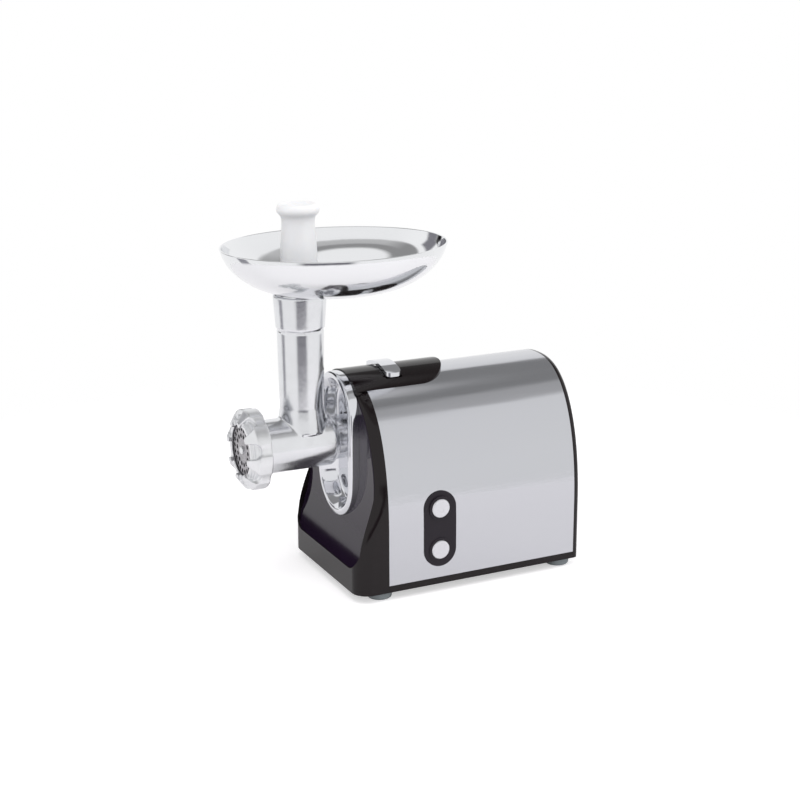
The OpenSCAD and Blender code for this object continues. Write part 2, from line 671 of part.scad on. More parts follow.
module head_casting() color("#c9cbcf") row() difference() {
    union() {
        bar_x(thread_r, head_front, socket_back);
        translate([socket_back, 0, axis_z]) rotate([0, 90, 0]) cylinder(r1 = thread_r, r2 = barrel_r,
            h = 5);
        bar_x(barrel_r, socket_back, barrel_back - 3);
        translate([barrel_back - 3, 0, axis_z]) rotate([0, 90, 0]) cylinder(r1 = barrel_r,
            r2 = barrel_r - 2.2, h = 3);
        bar_x(neck_r, barrel_back - 1, neck_end);
        translate([tube_x, 0, 0]) rotate_extrude() polygon([[0, axis_z], [tube_low_r + 4, axis_z + 13],
            [tube_low_r + 1.4, axis_z + 27], [tube_low_r, axis_z + 36], [tube_high_r, cup_z - 0.8],
            [tube_high_r - 0.9, cup_z], [tube_high_r - 0.9, cup_z + 1.2], [cup_low_r, cup_z + 2.4],
            [cup_high_r, tube_top - 1], [cup_high_r - 0.6, tube_top], [0, tube_top]]);
    }
    bar_x(plate_r + 0.05, head_front - 1, socket_back);
    bar_x(chamber_r, socket_back - 1, chamber_back);
    bar_x(bush_r, chamber_back - 1, neck_end + 1);
    translate([tube_x, 0, axis_z]) cylinder(r = tube_bore_r, h = tube_top);
    translate([tube_x, 0, cup_z + 2.4]) cylinder(r1 = cup_low_r - cup_wall, r2 = cup_high_r - cup_wall,
        h = tube_top - cup_z - 2.4 + 0.01);
    difference() {
        bar_x(neck_r + 1, latch_x - 0.4, latch_x + latch_t + 0.4);
        bar_x(neck_r - 2, latch_x - 1, latch_x + latch_t + 1);
    }
}

module screw_bush() color("#b98b4e") row() difference() {
    bar_x(bush_r, chamber_back, bush_back);
    bar_x(shank_r + run_gap, chamber_back - 1, bush_back + 1);
}

module feed_screw() color("#b4b6ba") row() {
    bar_x(shank_r, screw_front, bush_back);
    translate([screw_front, 0, axis_z]) rotate([0, 90, 0])
        linear_extrude(chamber_back - 0.6 - screw_front, twist = -360 * flight_turns,
            slices = 20 * flight_turns, $fn = 8)
            polygon(concat([[0, 0]], [for (a = [-20 : 10 : 20]) flight_r * [cos(a), sin(a)]]));
    translate([bush_back - 0.01, -tang / 2, axis_z - tang / 2]) cube([tang_end - bush_back, tang, tang]);
    translate([knife_front, -4, axis_z - 4]) cube([knife_t, 8, 8]);
    bar_x(pin_r, plate_front - 2, knife_front + 1);
}

module cross_knife() color("#a4a7ac") row() along_x(knife_front, knife_front + knife_t) difference() {
    translate([0, axis_z]) {
        circle(11);
        for (a = [0 : 90 : 270]) rotate(a) polygon([[0, -4.5], [chamber_r + 1.5, -2.5], [chamber_r + 1.5,
            3.5], [0, 5.5]]);
    }
    translate([-4, axis_z - 4]) square(8);
}

module cutting_plate() color("#a9a39d") row() along_x(plate_front, plate_back) difference() {
    translate([0, axis_z]) circle(plate_r);
    translate([0, axis_z]) {
        circle(pin_r + run_gap);
        for (ring = [[14, 14], [20.6, 21]]) for (i = [0 : ring[1] - 1]) rotate(360 * i / ring[1])
            translate([ring[0], 0]) circle(hole_r, $fn = 24);
    }
}

module ring_nut() color("#cfd0d4") row() difference() {
    union() {
        translate([nut_front, 0, axis_z]) rotate([0, 90, 0]) cylinder(r1 = nut_rim_r, r2 = nut_r,
            h = nut_nose);
        bar_x(nut_r, nut_front + nut_nose, nut_back - 0.8);
        translate([nut_back - 0.8, 0, axis_z]) rotate([0, 90, 0]) cylinder(r1 = nut_r, r2 = nut_r - 0.8,
            h = 0.8);
    }
    bar_x(plate_r - 2.5, nut_front - 1, nut_back);
    bar_x(plate_r + free_gap, plate_front - free_gap, head_front);
    bar_x(thread_r + free_gap, head_front - free_gap, nut_back + 1);
    for (i = [0 : lobes - 1]) translate([0, 0, axis_z]) rotate([lobe_phase + 360 * i / lobes, 0, 0]) {
        translate([nut_front - 1, -notch_r, plate_r - 6]) cube([notch_step + 1, 2 * notch_r, 30]);
        translate([nut_front - 1, -notch_r, nut_rim_r + 0.5]) cube([nut_nose - 0.2, 2 * notch_r, 20]);
        translate([nut_front + notch_step + 1, 0, thread_r + 1.8]) cylinder(r = notch_r, h = 20);
        bar_x(flute_r, nut_front - 1, nut_back + 1, 0, nut_r + flute_r - flute_d);
    }
}

// A closed dish: the outside from its foot to the rim, then the inside down to its floor.
function dish_ring(h, off, z0) = let (q = dish_foot + (1 - dish_foot) * pow(1 - pow(h, dish_p), 1 / dish_p))
    [for (i = [0 : dish_n - 1]) let (t = 360 * i / dish_n)
        [tray_x + (tray_a * q - off) * cos(t), (tray_b * q - off) * sin(t),
            tray_top - (tray_top - z0) * h]];

module food_tray() color("#d6d7db") row() {
    steps = [for (i = [0 : dish_steps]) sin(90 * i / dish_steps)];
    rings = concat(
        [for (i = [dish_steps : -1 : 0]) dish_ring(steps[i], 0, tray_floor)],
        [for (i = [0 : dish_steps]) dish_ring(steps[i], tray_t, tray_floor + tray_t)]);
    last = len(rings) - 1;
    difference() {
        union() {
            polyhedron([for (ring = rings) for (p = ring) p], concat(
                [for (k = [0 : last - 1]) for (i = [0 : dish_n - 1]) let (j = (i + 1) % dish_n)
                    [k * dish_n + i, (k + 1) * dish_n + i, (k + 1) * dish_n + j, k * dish_n + j]],
                [[for (i = [0 : dish_n - 1]) i]],
                [[for (i = [dish_n - 1 : -1 : 0]) last * dish_n + i]]), convexity = 6);
            translate([tube_x, 0, spigot_low]) cylinder(r1 = cup_low_r - cup_wall - 0.1, r2 = spigot_r,
                h = tray_floor + 0.5 - spigot_low);
        }
        translate([tube_x, 0, spigot_low - 1]) cylinder(r = tube_bore_r, h = tray_top);
    }
}

module pusher() color("#eef0f2", 0.9) row() translate([tube_x, 0, 0]) rotate_extrude() polygon(concat(
    [[pusher_r - 2.4, pusher_low], [pusher_r, pusher_low], [pusher_r, pusher_top - 36],
     [pusher_r - 0.6, pusher_top - 33.5], [cap_r - 4.4, pusher_top - 30], [cap_r - 4.6, pusher_top - 17],
     [cap_r - 3.4, pusher_top - 12.5]],
    [for (a = [-60 : 20 : 60]) [cap_r - 4 + 4 * cos(a), pusher_top - 5 + 4.4 * sin(a)]],
    [[cap_r - 4.5, pusher_top], [cap_r - 7, pusher_top - 1.2], [0, pusher_top - 1.2],
     [0, pusher_top - 6], [cap_r - 8, pusher_top - 6], [cap_r - 8, pusher_top - 34],
     [pusher_r - 2.4, pusher_top - 38]]));

// A round bar along Y.
module bar_y(r, y0, y1, x, z) translate([x, y0, z]) rotate([-90, 0, 0]) cylinder(r = r, h = y1 - y0);

module switch_plate() color("#332f35") row() difference() {
    union() {
        intersection() {
            along_y(-wrap_hw - 6, -40) switch_outline(switch_r);
            along_x(0, wrap_l) difference() {
                polygon(arch(-1.2, 0));
                polygon(arch(0, -1));
            }
        }
        intersection() {
            along_y(-wrap_hw - 6, -40) switch_outline(switch_r - 1.4);
            along_x(0, wrap_l) difference() {
                polygon(arch(-0.1, 0));
                polygon(arch(3, -1));
            }
        }
        along_y(-wrap_hw + 2, block_front) difference() {
            switch_outline(switch_r - 1.4);
            switch_outline(switch_r - 3.4);
        }
        for (z = button_z) bar_y(push_r + 2.6, -wrap_hw - 1.9, -wrap_hw + 2, switch_x, z);
    }
    for (z = button_z) bar_y(push_r + free_gap, -wrap_hw - 6, block_front + 1, switch_x, z);
}

module push_button(z) difference() {
    union() {
        bar_y(push_r, -wrap_hw - cap_proud + 1, cap_back, switch_x, z);
        translate([switch_x, -wrap_hw - cap_proud + 1, z]) rotate([90, 0, 0])
            cylinder(r1 = push_r, r2 = push_r - 0.9, h = 1);
        bar_y(stem_r, cap_back - 0.5, block_front + 4, switch_x, z);
    }
    translate([switch_x, -wrap_hw - cap_proud - 23.6, z]) sphere(24, $fn = 96);
}

module power_button() color("#c3c6ca") row() push_button(power_z);
module reverse_button() color("#c3c6ca") row() push_button(reverse_z);

module push_spring(z) translate([switch_x, cap_back + 0.02, z]) rotate([-90, 0, 0])
    coil(push_r - 3.5, 0.35, 0, block_front - cap_back - 0.04, 3);
module power_spring() color("#b8babd") row() push_spring(power_z);
module reverse_spring() color("#b8babd") row() push_spring(reverse_z);

module switch_block(z) difference() {
    translate([switch_x - 14, block_front, z - 14]) cube([28, block_back - block_front, 28]);
    bar_y(stem_r + free_gap, block_front - 1, block_back - 1.5, switch_x, z);
}
module power_switch() color("#1d1d20") row() switch_block(power_z);
module reverse_switch() color("#1d1d20") row() switch_block(reverse_z);

// Shaft centres in Y and Z.

// Spur gear outline, with one tooth centred on the given angle from +Y towards +Z.
function inv(a) = tan(a) * 180 / PI - a;
function polar(r, a) = r * [cos(a), sin(a)];
function tooth_half(m, z, r) = let (rp = m * z / 2) 90 / z - backlash / 2 / rp * 180 / PI
    + inv(pressure) - inv(acos(min(1, rp * cos(pressure) / r)));
function gear_points(m, z) = let (rp = m * z / 2, root = rp - dedendum * m,
    low = max(root, rp * cos(pressure)), high = rp + addendum * m,
    rs = concat(root < low ? [root] : [], [for (i = [0 : 3]) low + (high - low) * i / 3]))
    [for (k = [0 : z - 1]) for (s = [-1, 1]) for (i = [0 : len(rs) - 1])
        let (r = s < 0 ? rs[i] : rs[len(rs) - 1 - i])
        polar(r, 360 * k / z + s * tooth_half(m, z, max(r, low)))];
function heading(a, b) = atan2(b[1] - a[1], b[0] - a[0]);
function mate(a, b, z1, z2) = let (t = heading(a, b)) t + 180 - 180 / z2 + t * z1 / z2;

module gear(m, z, xs, at, phase, bore) along_x(xs[0], xs[1]) translate(at) difference() {
    rotate(phase) polygon(gear_points(m, z));
    circle(bore);
}

module motor_pinion() color("#8f9297") row() gear(first_module, motor_teeth, first_x, motor_at, 0,
    motor_shaft_r);
module first_gear() color("#d9d6c8") row() difference() {
    gear(first_module, first_teeth, first_x, first_at, mate(motor_at, first_at, motor_teeth,
        first_teeth), idler_r);
    web(first_x, first_at, 11, first_module * first_teeth / 2 - 6);
}
module second_pinion() color("#8f9297") row() gear(second_module, second_teeth, second_x, first_at, 0,
    idler_r);
module middle_gear() color("#d9d6c8") row() difference() {
    gear(second_module, middle_teeth, second_x, second_at, mate(first_at, second_at, second_teeth,
        middle_teeth), idler_r);
    web(second_x, second_at, 12, second_module * middle_teeth / 2 - 7);
}
module third_pinion() color("#8f9297") row() gear(third_module, third_teeth, third_x, second_at, 0,
    idler_r);
module output_gear() color("#d9d6c8") row() difference() {
    gear(third_module, output_teeth, third_x, output_at, mate(second_at, output_at, third_teeth,
        output_teeth), coupling_r);
    web(third_x, output_at, coupling_r + 5, third_module * output_teeth / 2 - 7);
}

// The recess on both faces of a large gear, between its hub and its rim.
module web(xs, at, r0, r1) for (x = [xs[0] - 1, xs[1] - 2]) along_x(x, x + 3) translate(at) difference() {
    circle(r1);
    circle(r0);
}

module first_shaft() color("#9a9da1") row() bar_x(idler_r, gear_x0 + 0.5, gear_x2 - 0.5, first_at[0],
    first_at[1]);
module second_shaft() color("#9a9da1") row() bar_x(idler_r, gear_x0 + 0.5, gear_x2 - 0.5, second_at[0],
    second_at[1]);

module drive_coupling() color("#8f9297") row() difference() {
    union() {
        bar_x(coupling_r, coupling_x, third_x[1]);
        bar_x(output_r, third_x[1], gear_x2 - 0.5);
    }
    translate([coupling_x - 1, -tang / 2 - 0.1, axis_z - tang / 2 - 0.1]) cube([13, tang + 0.2,
        tang + 0.2]);
}

// Bushes: centre, shaft radius, outer radius and first x of each.
module shaft_bushes() color("#b98b4e") row() for (b = bushes) along_x(b[3], b[3] + bush_l)
    translate(b[0]) difference() {
    circle(b[2]);
    circle(b[1] + run_gap);
}

// The gear chamber's outline in Y and Z, grown by a wall.
module train_outline(grow) for (c = chambers) translate(c[0]) circle(c[1] + grow);

module stand_foot(x0, x1, y0, y1) for (s = [-1, 1]) difference() {
    translate([x0, s > 0 ? y0 : -y1, floor_z]) cube([x1 - x0, y1 - y0, 6]);
    for (p = stand_screw_at) translate([p[0], p[1], 0]) cylinder(r = screw_r, h = 40);
}

module gearbox_housing() color("#b7b9bd") row() {
    difference() {
        union() {
            along_x(gear_x0, gear_x1) train_outline(gear_wall);
            for (p = gearbox_screw_at) bar_x(4.5, gear_x1 - 12, gear_x1, p[0], p[1]);
            for (s = [-1, 1]) translate([gear_leg_x, s * 32 - 8, floor_z]) cube([16, 16, 56]);
        }
        difference() {
            along_x(gear_x0 + gear_wall + 1, gear_x1 + 1) train_outline(0);
            for (b = bushes) bar_x(b[2] + 2.5, gear_x0, gear_x0 + bush_l, b[0][0], b[0][1]);
        }
        for (b = bushes) if (b[3] == gear_x0) bar_x(b[2], gear_x0 - 1, gear_x1, b[0][0], b[0][1]);
        for (p = gearbox_screw_at) bar_x(screw_r, gear_x1 - 11, gear_x1 + 1, p[0], p[1]);
    }
    stand_foot(gear_leg_x, gear_leg_x + 16, 40, 52);
}

module gearbox_cover() color("#aeb0b4") row() difference() {
    union() {
        along_x(gear_x1, gear_x2) {
            train_outline(gear_wall);
            for (p = gearbox_screw_at) translate(p) circle(4.5);
        }
        for (b = bushes) if (b[3] > gear_x0) bar_x(b[2] + 2.5, b[3], gear_x2, b[0][0], b[0][1]);
    }
    for (b = bushes) if (b[3] > gear_x0) bar_x(b[2], b[3] - 1, gear_x2 + 1, b[0][0], b[0][1]);
    for (p = gearbox_screw_at) bar_x(screw_r, gear_x1 - 1, gear_x2 + 1, p[0], p[1]);
    bar_x(motor_shaft_r + 1, gear_x1 - 1, gear_x2 + 1, 0, motor_z);
}

module gearbox_screws() color("#8d8f94") row() for (p = gearbox_screw_at)
    screw_x(gear_x2, p[0], p[1], screw_r, 14, screw_head_r, screw_head_h);

module motor_bar(r, x0, x1, y = 0, z = 0) bar_x(r, x0, x1, y, motor_z + z);

module motor_shaft() color("#9a9da1") row() motor_bar(motor_shaft_r, first_x[0] - 1, bracket_x[1] + 8);

module cooling_fan() color("#2b2b2e") row() difference() {
    union() {
        motor_bar(8, 77, 87);
        motor_bar(28.5, 77, 78.6);
        for (i = [0 : 10]) translate([0, 0, motor_z]) rotate([360 * i / 11, 0, 0])
            translate([78, -0.8, 7]) cube([8, 1.6, 21]);
    }
    motor_bar(motor_shaft_r, 76, 90);
}

module rotor_stack() color("#6d7076") row() difference() {
    motor_bar(rotor_r, stack_x[0], stack_x[1]);
    motor_bar(motor_shaft_r, stack_x[0] - 1, stack_x[1] + 1);
    for (i = [0 : 11]) translate([0, 0, motor_z]) rotate([30 * i, 0, 0]) {
        translate([stack_x[0] - 1, -1, rotor_r - 3]) cube([stack_x[1] - stack_x[0] + 2, 2, 5]);
        bar_x(2.6, stack_x[0] - 1, stack_x[1] + 1, 0, rotor_r - 5);
    }
}

module rotor_windings() color("#b3672f") row() for (x = [stack_x[0] - 7, stack_x[1]]) difference() {
    union() {
        motor_bar(18, x, x + 7);
        for (i = [0 : 11]) motor_bar(2.4, x, x + 7, 17 * sin(30 * i), 17 * cos(30 * i));
    }
    motor_bar(motor_shaft_r, x - 1, x + 8);
}

module commutator() color("#b3672f") row() difference() {
    motor_bar(11, 146, 160);
    motor_bar(motor_shaft_r, 145, 161);
    for (i = [0 : 11]) translate([0, 0, motor_z]) rotate([30 * i + 15, 0, 0])
        translate([147.5, -0.3, 10]) cube([13, 0.6, 3]);
}

module stator_stack() color("#74777d") row() along_x(stack_x[0], stack_x[1]) translate(motor_at)
    difference() {
    square(2 * motor_half, center = true);
    intersection() {
        square(2 * motor_half - 12, center = true);
        circle(41);
        difference() {
            square(100, center = true);
            difference() {
                union() {
                    square([26, 70], center = true);
                    intersection() {
                        circle(24.5);
                        for (s = [-1, 1]) polygon([[0, 0], 60 * [sin(55), s * cos(55)], [0, 60 * s],
                            60 * [-sin(55), s * cos(55)]]);
                    }
                }
                circle(21.3);
            }
        }
    }
    for (y = [-tie_at, tie_at], z = [-tie_at, tie_at]) translate([y, z]) circle(2.1);
}

module field_coils() color("#b3672f") row() for (s = [-1, 1])
    translate([0, 0, motor_z + s * 27.8 - 3]) linear_extrude(6) difference() {
        coil_plan(8.5, 26.5, 6);
        coil_plan(0.3, 13.3, 1);
    }
module coil_plan(grow, hw, r) for (x = [stack_x[0] - grow + r, stack_x[1] + grow - r]) {
    for (s = [-1, 1]) translate([x, s * (hw - r)]) circle(r);
    translate([stack_x[0] - grow + r, -hw]) square([stack_x[1] - stack_x[0] + 2 * (grow - r), 2 * hw]);
    translate([stack_x[0] - grow, r - hw]) square([stack_x[1] - stack_x[0] + 2 * grow, 2 * (hw - r)]);
}

// A motor bracket: a plate with its bearing seat, its air openings and its feet.
module motor_bracket(x, boss_x, foot_x0) {
    difference() {
        union() {
            along_x(x, x + bracket_t) translate([-motor_half + 1, floor_z])
                square([2 * motor_half - 2, motor_z + motor_half - 1 - floor_z]);
            motor_bar(bearing_r + 2.5, boss_x, boss_x + bearing_l);
        }
        motor_bar(bearing_r, boss_x - 1, boss_x + bearing_l + 1);
        for (a = [0 : 60 : 300]) motor_bar(6.5, x - 1, x + bracket_t + 1, 23.5 * cos(a), 23.5 * sin(a));
        for (y = [-tie_at, tie_at], z = [-tie_at, tie_at]) motor_bar(2, x - 1, x + bracket_t + 1, y, z);
        along_x(x - 1, x + bracket_t + 1) translate([-18, -1]) square([36, 34]);
    }
    stand_foot(foot_x0, foot_x0 + 14 - bracket_t, 22, motor_half - 1);
}
module motor_bracket_front() color("#b7b9bd") row() motor_bracket(bracket_x[0], bearing_x[0],
    bracket_x[0] - 10);
module motor_bracket_rear() color("#b7b9bd") row() motor_bracket(bracket_x[1], bearing_x[1],
    bracket_x[1] + bracket_t);

module motor_bearings() color("#a9abae") row() for (x = bearing_x) difference() {
    motor_bar(bearing_r, x, x + bearing_l);
    motor_bar(motor_shaft_r + run_gap, x - 1, x + bearing_l + 1);
    for (e = [x - 0.5, x + bearing_l - 0.5]) difference() {
        motor_bar(9.2, e, e + 1);
        motor_bar(6, e - 1, e + 2);
    }
}

module tie_bolts() color("#8d8f94") row() for (y = [-tie_at, tie_at], z = [-tie_at, tie_at]) {
    motor_bar(2, bracket_x[0], bracket_x[1] + bracket_t, y, z);
    motor_bar(3.6, bracket_x[0] - 2.5, bracket_x[0], y, z);
    motor_bar(3.6, bracket_x[1] + bracket_t, bracket_x[1] + bracket_t + 2.4, y, z);
}

module brush_holders() color("#3a3a3e") row() for (s = [-1, 1]) translate([0, 0, motor_z]) difference() {
    translate([brush_x[0] - 2, s > 0 ? 14 : -30, -6]) cube([bracket_x[1] - brush_x[0] + 2, 16, 12]);
    translate([brush_x[0] - 0.1, s > 0 ? 13 : -27, -3.1]) cube([brush_x[1] - brush_x[0] + 0.2, 14, 6.2]);
}
module carbon_brushes() color("#3d3f43") row() for (s = [-1, 1])
    translate([brush_x[0], s > 0 ? 11.2 : -26, motor_z - 3]) cube([brush_x[1] - brush_x[0], 14.8, 6]);

module circuit_board() color("#2e6b45") row() translate([board_at[0], board_at[1], board_z]) {
    difference() {
        cube([board[0], board[1], board_t]);
        for (p = board_pegs) translate([p[0] - board_at[0], p[1] - board_at[1], -1]) cylinder(r = 1.2,
            h = 4);
    }
    translate([12, 6, board_t]) cube([12, 12, 9]);
    translate([30, 13, board_t]) cylinder(r = 4, h = 12);
}
module terminal_block() color("#3f7d58") row() translate([board_at[0] + 38, board_at[1] + 5,
    board_z + board_t])
    difference() {
        cube([14, 16, 10]);
        for (y = [4, 12]) {
            translate([7, y, 4.4]) cylinder(r = 2.4, h = 10);
            bar_x(1.6, -6, 3, y, 3.9);
        }
    }

module cord_gland() color("#1b1a1c") row() difference() {
    union() {
        bar_x(gland_r, gland[0] - 8, gland[0] + rear_d, gland[1], gland[2]);
        translate([gland[0] - 5, gland[1], gland[2]]) rotate([0, 90, 0]) cylinder(r = gland_r + 3,
            h = 4.5, $fn = 6);
    }
    bar_x(gland_bore_r, gland[0] - 9, gland[0] + rear_d + 1, gland[1], gland[2]);
}

base_pan();
rubber_feet();
foot_screws();
front_cover();
front_panel();
bezel();
steel_wrap();
rear_cover();
rear_screws();
casing_screws();
top_cover();
release_button();
latch_plate();
release_spring();
hub_socket();
head_casting();
screw_bush();
feed_screw();
cross_knife();
cutting_plate();
ring_nut();
food_tray();
pusher();
switch_plate();
power_button();
reverse_button();
power_spring();
reverse_spring();
power_switch();
reverse_switch();
gearbox_housing();
gearbox_cover();
gearbox_screws();
shaft_bushes();
drive_coupling();
output_gear();
second_shaft();
third_pinion();
middle_gear();
first_shaft();
second_pinion();
first_gear();
motor_shaft();
motor_pinion();
cooling_fan();
rotor_stack();
rotor_windings();
commutator();
stator_stack();
field_coils();
motor_bracket_front();
motor_bracket_rear();
motor_bearings();
tie_bolts();
brush_holders();
carbon_brushes();
circuit_board();
terminal_block();
cord_gland();
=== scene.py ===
# %% [markdown]
# # A kitchen meat grinder, dressed for a studio picture
# A geared motor in an arched steel casing turns a feed screw inside a cast head. Meat goes in at
# the oval tray, is pressed down the feed tube, and leaves through the cutting plate.
# The solids are already exact, so this lesson keeps them as a fixed frame. It gives each one a
# real finish, and remodels the pieces whose look depends on soft edges and clean curves.
# Blender works in metres, so a size in millimetres is written as a number times MM.

# %% Load the fixed frame
import json
import math
import bmesh
import bpy
from mathutils import Matrix, Vector


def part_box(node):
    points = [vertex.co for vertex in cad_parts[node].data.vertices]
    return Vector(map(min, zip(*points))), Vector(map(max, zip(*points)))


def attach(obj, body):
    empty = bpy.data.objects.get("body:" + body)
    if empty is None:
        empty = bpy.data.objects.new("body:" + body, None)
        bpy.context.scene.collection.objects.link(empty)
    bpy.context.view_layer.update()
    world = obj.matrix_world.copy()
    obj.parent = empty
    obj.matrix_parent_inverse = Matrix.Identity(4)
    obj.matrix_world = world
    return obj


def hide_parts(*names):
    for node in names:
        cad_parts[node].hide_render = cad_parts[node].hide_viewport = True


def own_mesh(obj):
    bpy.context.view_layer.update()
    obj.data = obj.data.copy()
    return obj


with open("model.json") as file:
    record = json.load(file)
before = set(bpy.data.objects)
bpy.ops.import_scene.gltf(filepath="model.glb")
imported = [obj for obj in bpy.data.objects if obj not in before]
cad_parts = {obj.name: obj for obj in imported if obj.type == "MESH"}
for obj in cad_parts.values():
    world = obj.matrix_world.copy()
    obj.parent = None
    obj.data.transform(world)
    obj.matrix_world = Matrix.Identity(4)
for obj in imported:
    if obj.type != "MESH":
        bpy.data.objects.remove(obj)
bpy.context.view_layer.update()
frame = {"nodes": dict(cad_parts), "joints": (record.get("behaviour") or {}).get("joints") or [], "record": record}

MM = 0.001
print("solids loaded:", len(frame["nodes"]))

# %% [markdown]
# ## The camera
# A product picture of a machine this size is taken from about one and a half metres with a long
# lens, so that upright edges stay nearly parallel. The camera stands off the long side that has
# the buttons, nearer the head than the rear, and looks down on the tray by sixteen degrees.

# %% Camera
camera_place = (-0.65715, -1.367, 0.6063)
camera_turn, camera_dip, camera_roll = -25.98, 15.91, -0.19

camera = bpy.data.objects.new("camera", bpy.data.cameras.new("camera"))
bpy.context.scene.collection.objects.link(camera)
bpy.context.scene.camera = camera
camera.data.sensor_width = 36
camera.data.lens = 72.4
turned = Matrix.Rotation(math.radians(camera_turn), 4, "Z")
tilted = Matrix.Rotation(math.radians(90 - camera_dip), 4, "X")
rolled = Matrix.Rotation(math.radians(camera_roll), 4, "Z")
camera.matrix_world = Matrix.Translation(camera_place) @ turned @ tilted @ rolled
bpy.context.scene.view_settings.view_transform = "Standard"
print("camera at", [round(v, 3) for v in camera.matrix_world.translation])

# %% [markdown]
# ## Nodes and colours
# Colours are written as they look on a screen, and Blender calculates with linear light, so one
# function turns a hex value into linear numbers, and a share makes it darker or paler. Another
# fills a node's sockets, with a link where it is given another node's output and with a plain
# value otherwise. A third adds a node and fills it, which keeps the recipes short.

# %% Helpers for finishes
def colour(code, share=1.0):
    parts = [int(code[i:i + 2], 16) / 255 for i in (1, 3, 5)]
    linear = [c / 12.92 if c <= 0.04045 else ((c + 0.055) / 1.055) ** 2.4 for c in parts]
    return [share * c for c in linear] + [1]


def fill(tree, node, sockets):
    for name, value in sockets.items():
        if isinstance(value, bpy.types.NodeSocket):
            tree.links.new(value, node.inputs[name])
        else:
            node.inputs[name].default_value = value


def add(tree, kind, sockets=None, **settings):
    node = tree.nodes.new("ShaderNode" + kind)
    for name, value in settings.items():
        setattr(node, name, value)
    fill(tree, node, sockets or {})
    return node


print("mid grey #808080 is", round(colour("#808080")[0], 3), "in linear light")

# %% [markdown]
# ## The room
# Metal shows the room more than it shows itself. The room here is a plain one: white walls low
# down all round, a bright cloth right overhead and a dim ring of ceiling about it. Some darker
# patches stand round the table: the floor by the camera, a stand on the left and, behind the
# table, a doorway with a grey curtain over it.
# The dim ring draws the grey band along the casing's shoulder, the floor and the stand draw the
# upright bands on the feed tube, and the doorway the dark foot of the front panel. The camera
# itself sees white.
# A band is a list of (height, brightness), from 0 straight below to 1 straight above. The near
# and the far half of the room have a band each, and the two blend between them. A patch is written
# as its middle and half width round the room, its lowest and highest angle, and a shade.

# %% Bands and patches of the room
bands = {
    "camera_side": [
        (0.0, 0.92), (0.5, 0.98), (0.82, 0.95), (0.838, 0.55), (0.898, 0.52),
        (0.912, 0.3), (0.945, 0.3), (0.962, 0.96)],
    "far_side": [
        (0.0, 0.96), (0.5, 1.0), (0.805, 1.0), (0.822, 0.3), (0.945, 0.3), (0.962, 0.96)],
}
patches = {
    "dark floor by the camera": (-106, 24, -60, -1, "#74737a"),
    "stand on the left": (153, 9, -40, -6, "#98979d"),
    "dark doorway": (119, 17, -0.5, 9, "#0b0a0c"),
    "curtain over it": (127, 13, 9, 30, "#85848a"),
}
lower_blur, upper_blur = 0.006, 0.03
side_blur = 0.2
print("room:", {name: len(stops) for name, stops in bands.items()}, "stops and", *patches)

# %% Walls and ceiling
room = bpy.data.worlds.new("room")
bpy.context.scene.world = room
room.use_nodes = True
tree = room.node_tree
tree.nodes.clear()
way = add(tree, "SeparateXYZ", {"Vector": add(tree, "TexCoord").outputs["Generated"]})
height = add(tree, "MapRange", {"Value": way.outputs["Z"], "From Min": -1.0, "From Max": 1.0})
ramps = {}
for name, stops in bands.items():
    ramp = add(tree, "ValToRGB", {"Fac": height.outputs["Result"]})
    points = ramp.color_ramp.elements
    for number, (place, level) in enumerate(stops):
        stop = points[number] if number < 2 else points.new(place)
        stop.position = place
        stop.color = (level, level, level, 1)
    ramps[name] = ramp.outputs["Color"]
side = add(tree, "MapRange", {"Value": way.outputs["Y"], "From Min": -0.2, "From Max": 0.25})
walls = add(tree, "MixRGB", {
    "Fac": side.outputs["Result"], "Color1": ramps["camera_side"], "Color2": ramps["far_side"]})
seen = walls.outputs["Color"]
print("walls mixed from", len(ramps), "ramps")

# %% Patches over the walls
heading = add(tree, "Math", {0: way.outputs["Y"], 1: way.outputs["X"]}, operation="ARCTAN2")
for name, (middle, reach, bottom, top, shade) in patches.items():
    off = add(tree, "Math", {0: heading.outputs["Value"], 1: math.radians(middle)},
        operation="SUBTRACT")
    gap = add(tree, "Math", {0: off.outputs["Value"]}, operation="ABSOLUTE")
    across = add(tree, "MapRange", {
        "Value": gap.outputs["Value"], "From Min": math.radians(reach * (1 - side_blur)),
        "From Max": math.radians(reach * (1 + side_blur)), "To Min": 1.0, "To Max": 0.0})
    low, high = math.sin(math.radians(bottom)), math.sin(math.radians(top))
    above = add(tree, "MapRange", {
        "Value": way.outputs["Z"], "From Min": low - lower_blur, "From Max": low + lower_blur})
    below = add(tree, "MapRange", {
        "Value": way.outputs["Z"], "From Min": high - upper_blur, "From Max": high + upper_blur,
        "To Min": 1.0, "To Max": 0.0})
    tall = add(tree, "Math", {0: above.outputs["Result"], 1: below.outputs["Result"]},
        operation="MULTIPLY")
    dim = add(tree, "Math", {0: across.outputs["Result"], 1: tall.outputs["Value"]},
        operation="MULTIPLY")
    mixed = add(tree, "MixRGB", {
        "Fac": dim.outputs["Value"], "Color1": seen, "Color2": colour(shade)})
    seen = mixed.outputs["Color"]
    print(name, "from", bottom, "to", top, "degrees up")

lit = add(tree, "Background", {"Color": seen, "Strength": 1.0})
white = add(tree, "Background", {"Color": (1, 1, 1, 1), "Strength": 1.0})
eye = add(tree, "LightPath")
both = add(tree, "MixShader", {
    0: eye.outputs["Is Camera Ray"], 1: lit.outputs[0], 2: white.outputs[0]})
add(tree, "OutputWorld", {"Surface": both.outputs[0]})

# %% [markdown]
# ## Two cloth lamps
# A plain room alone would light the plastics too evenly. Two square cloths add some shading: a
# wide one high on the left and a smaller one on the right. Reflections leave them out, so that
# the polished metal shows the room alone.

# %% Soft lamps
machine_middle = Vector((0, 0, 0.15))


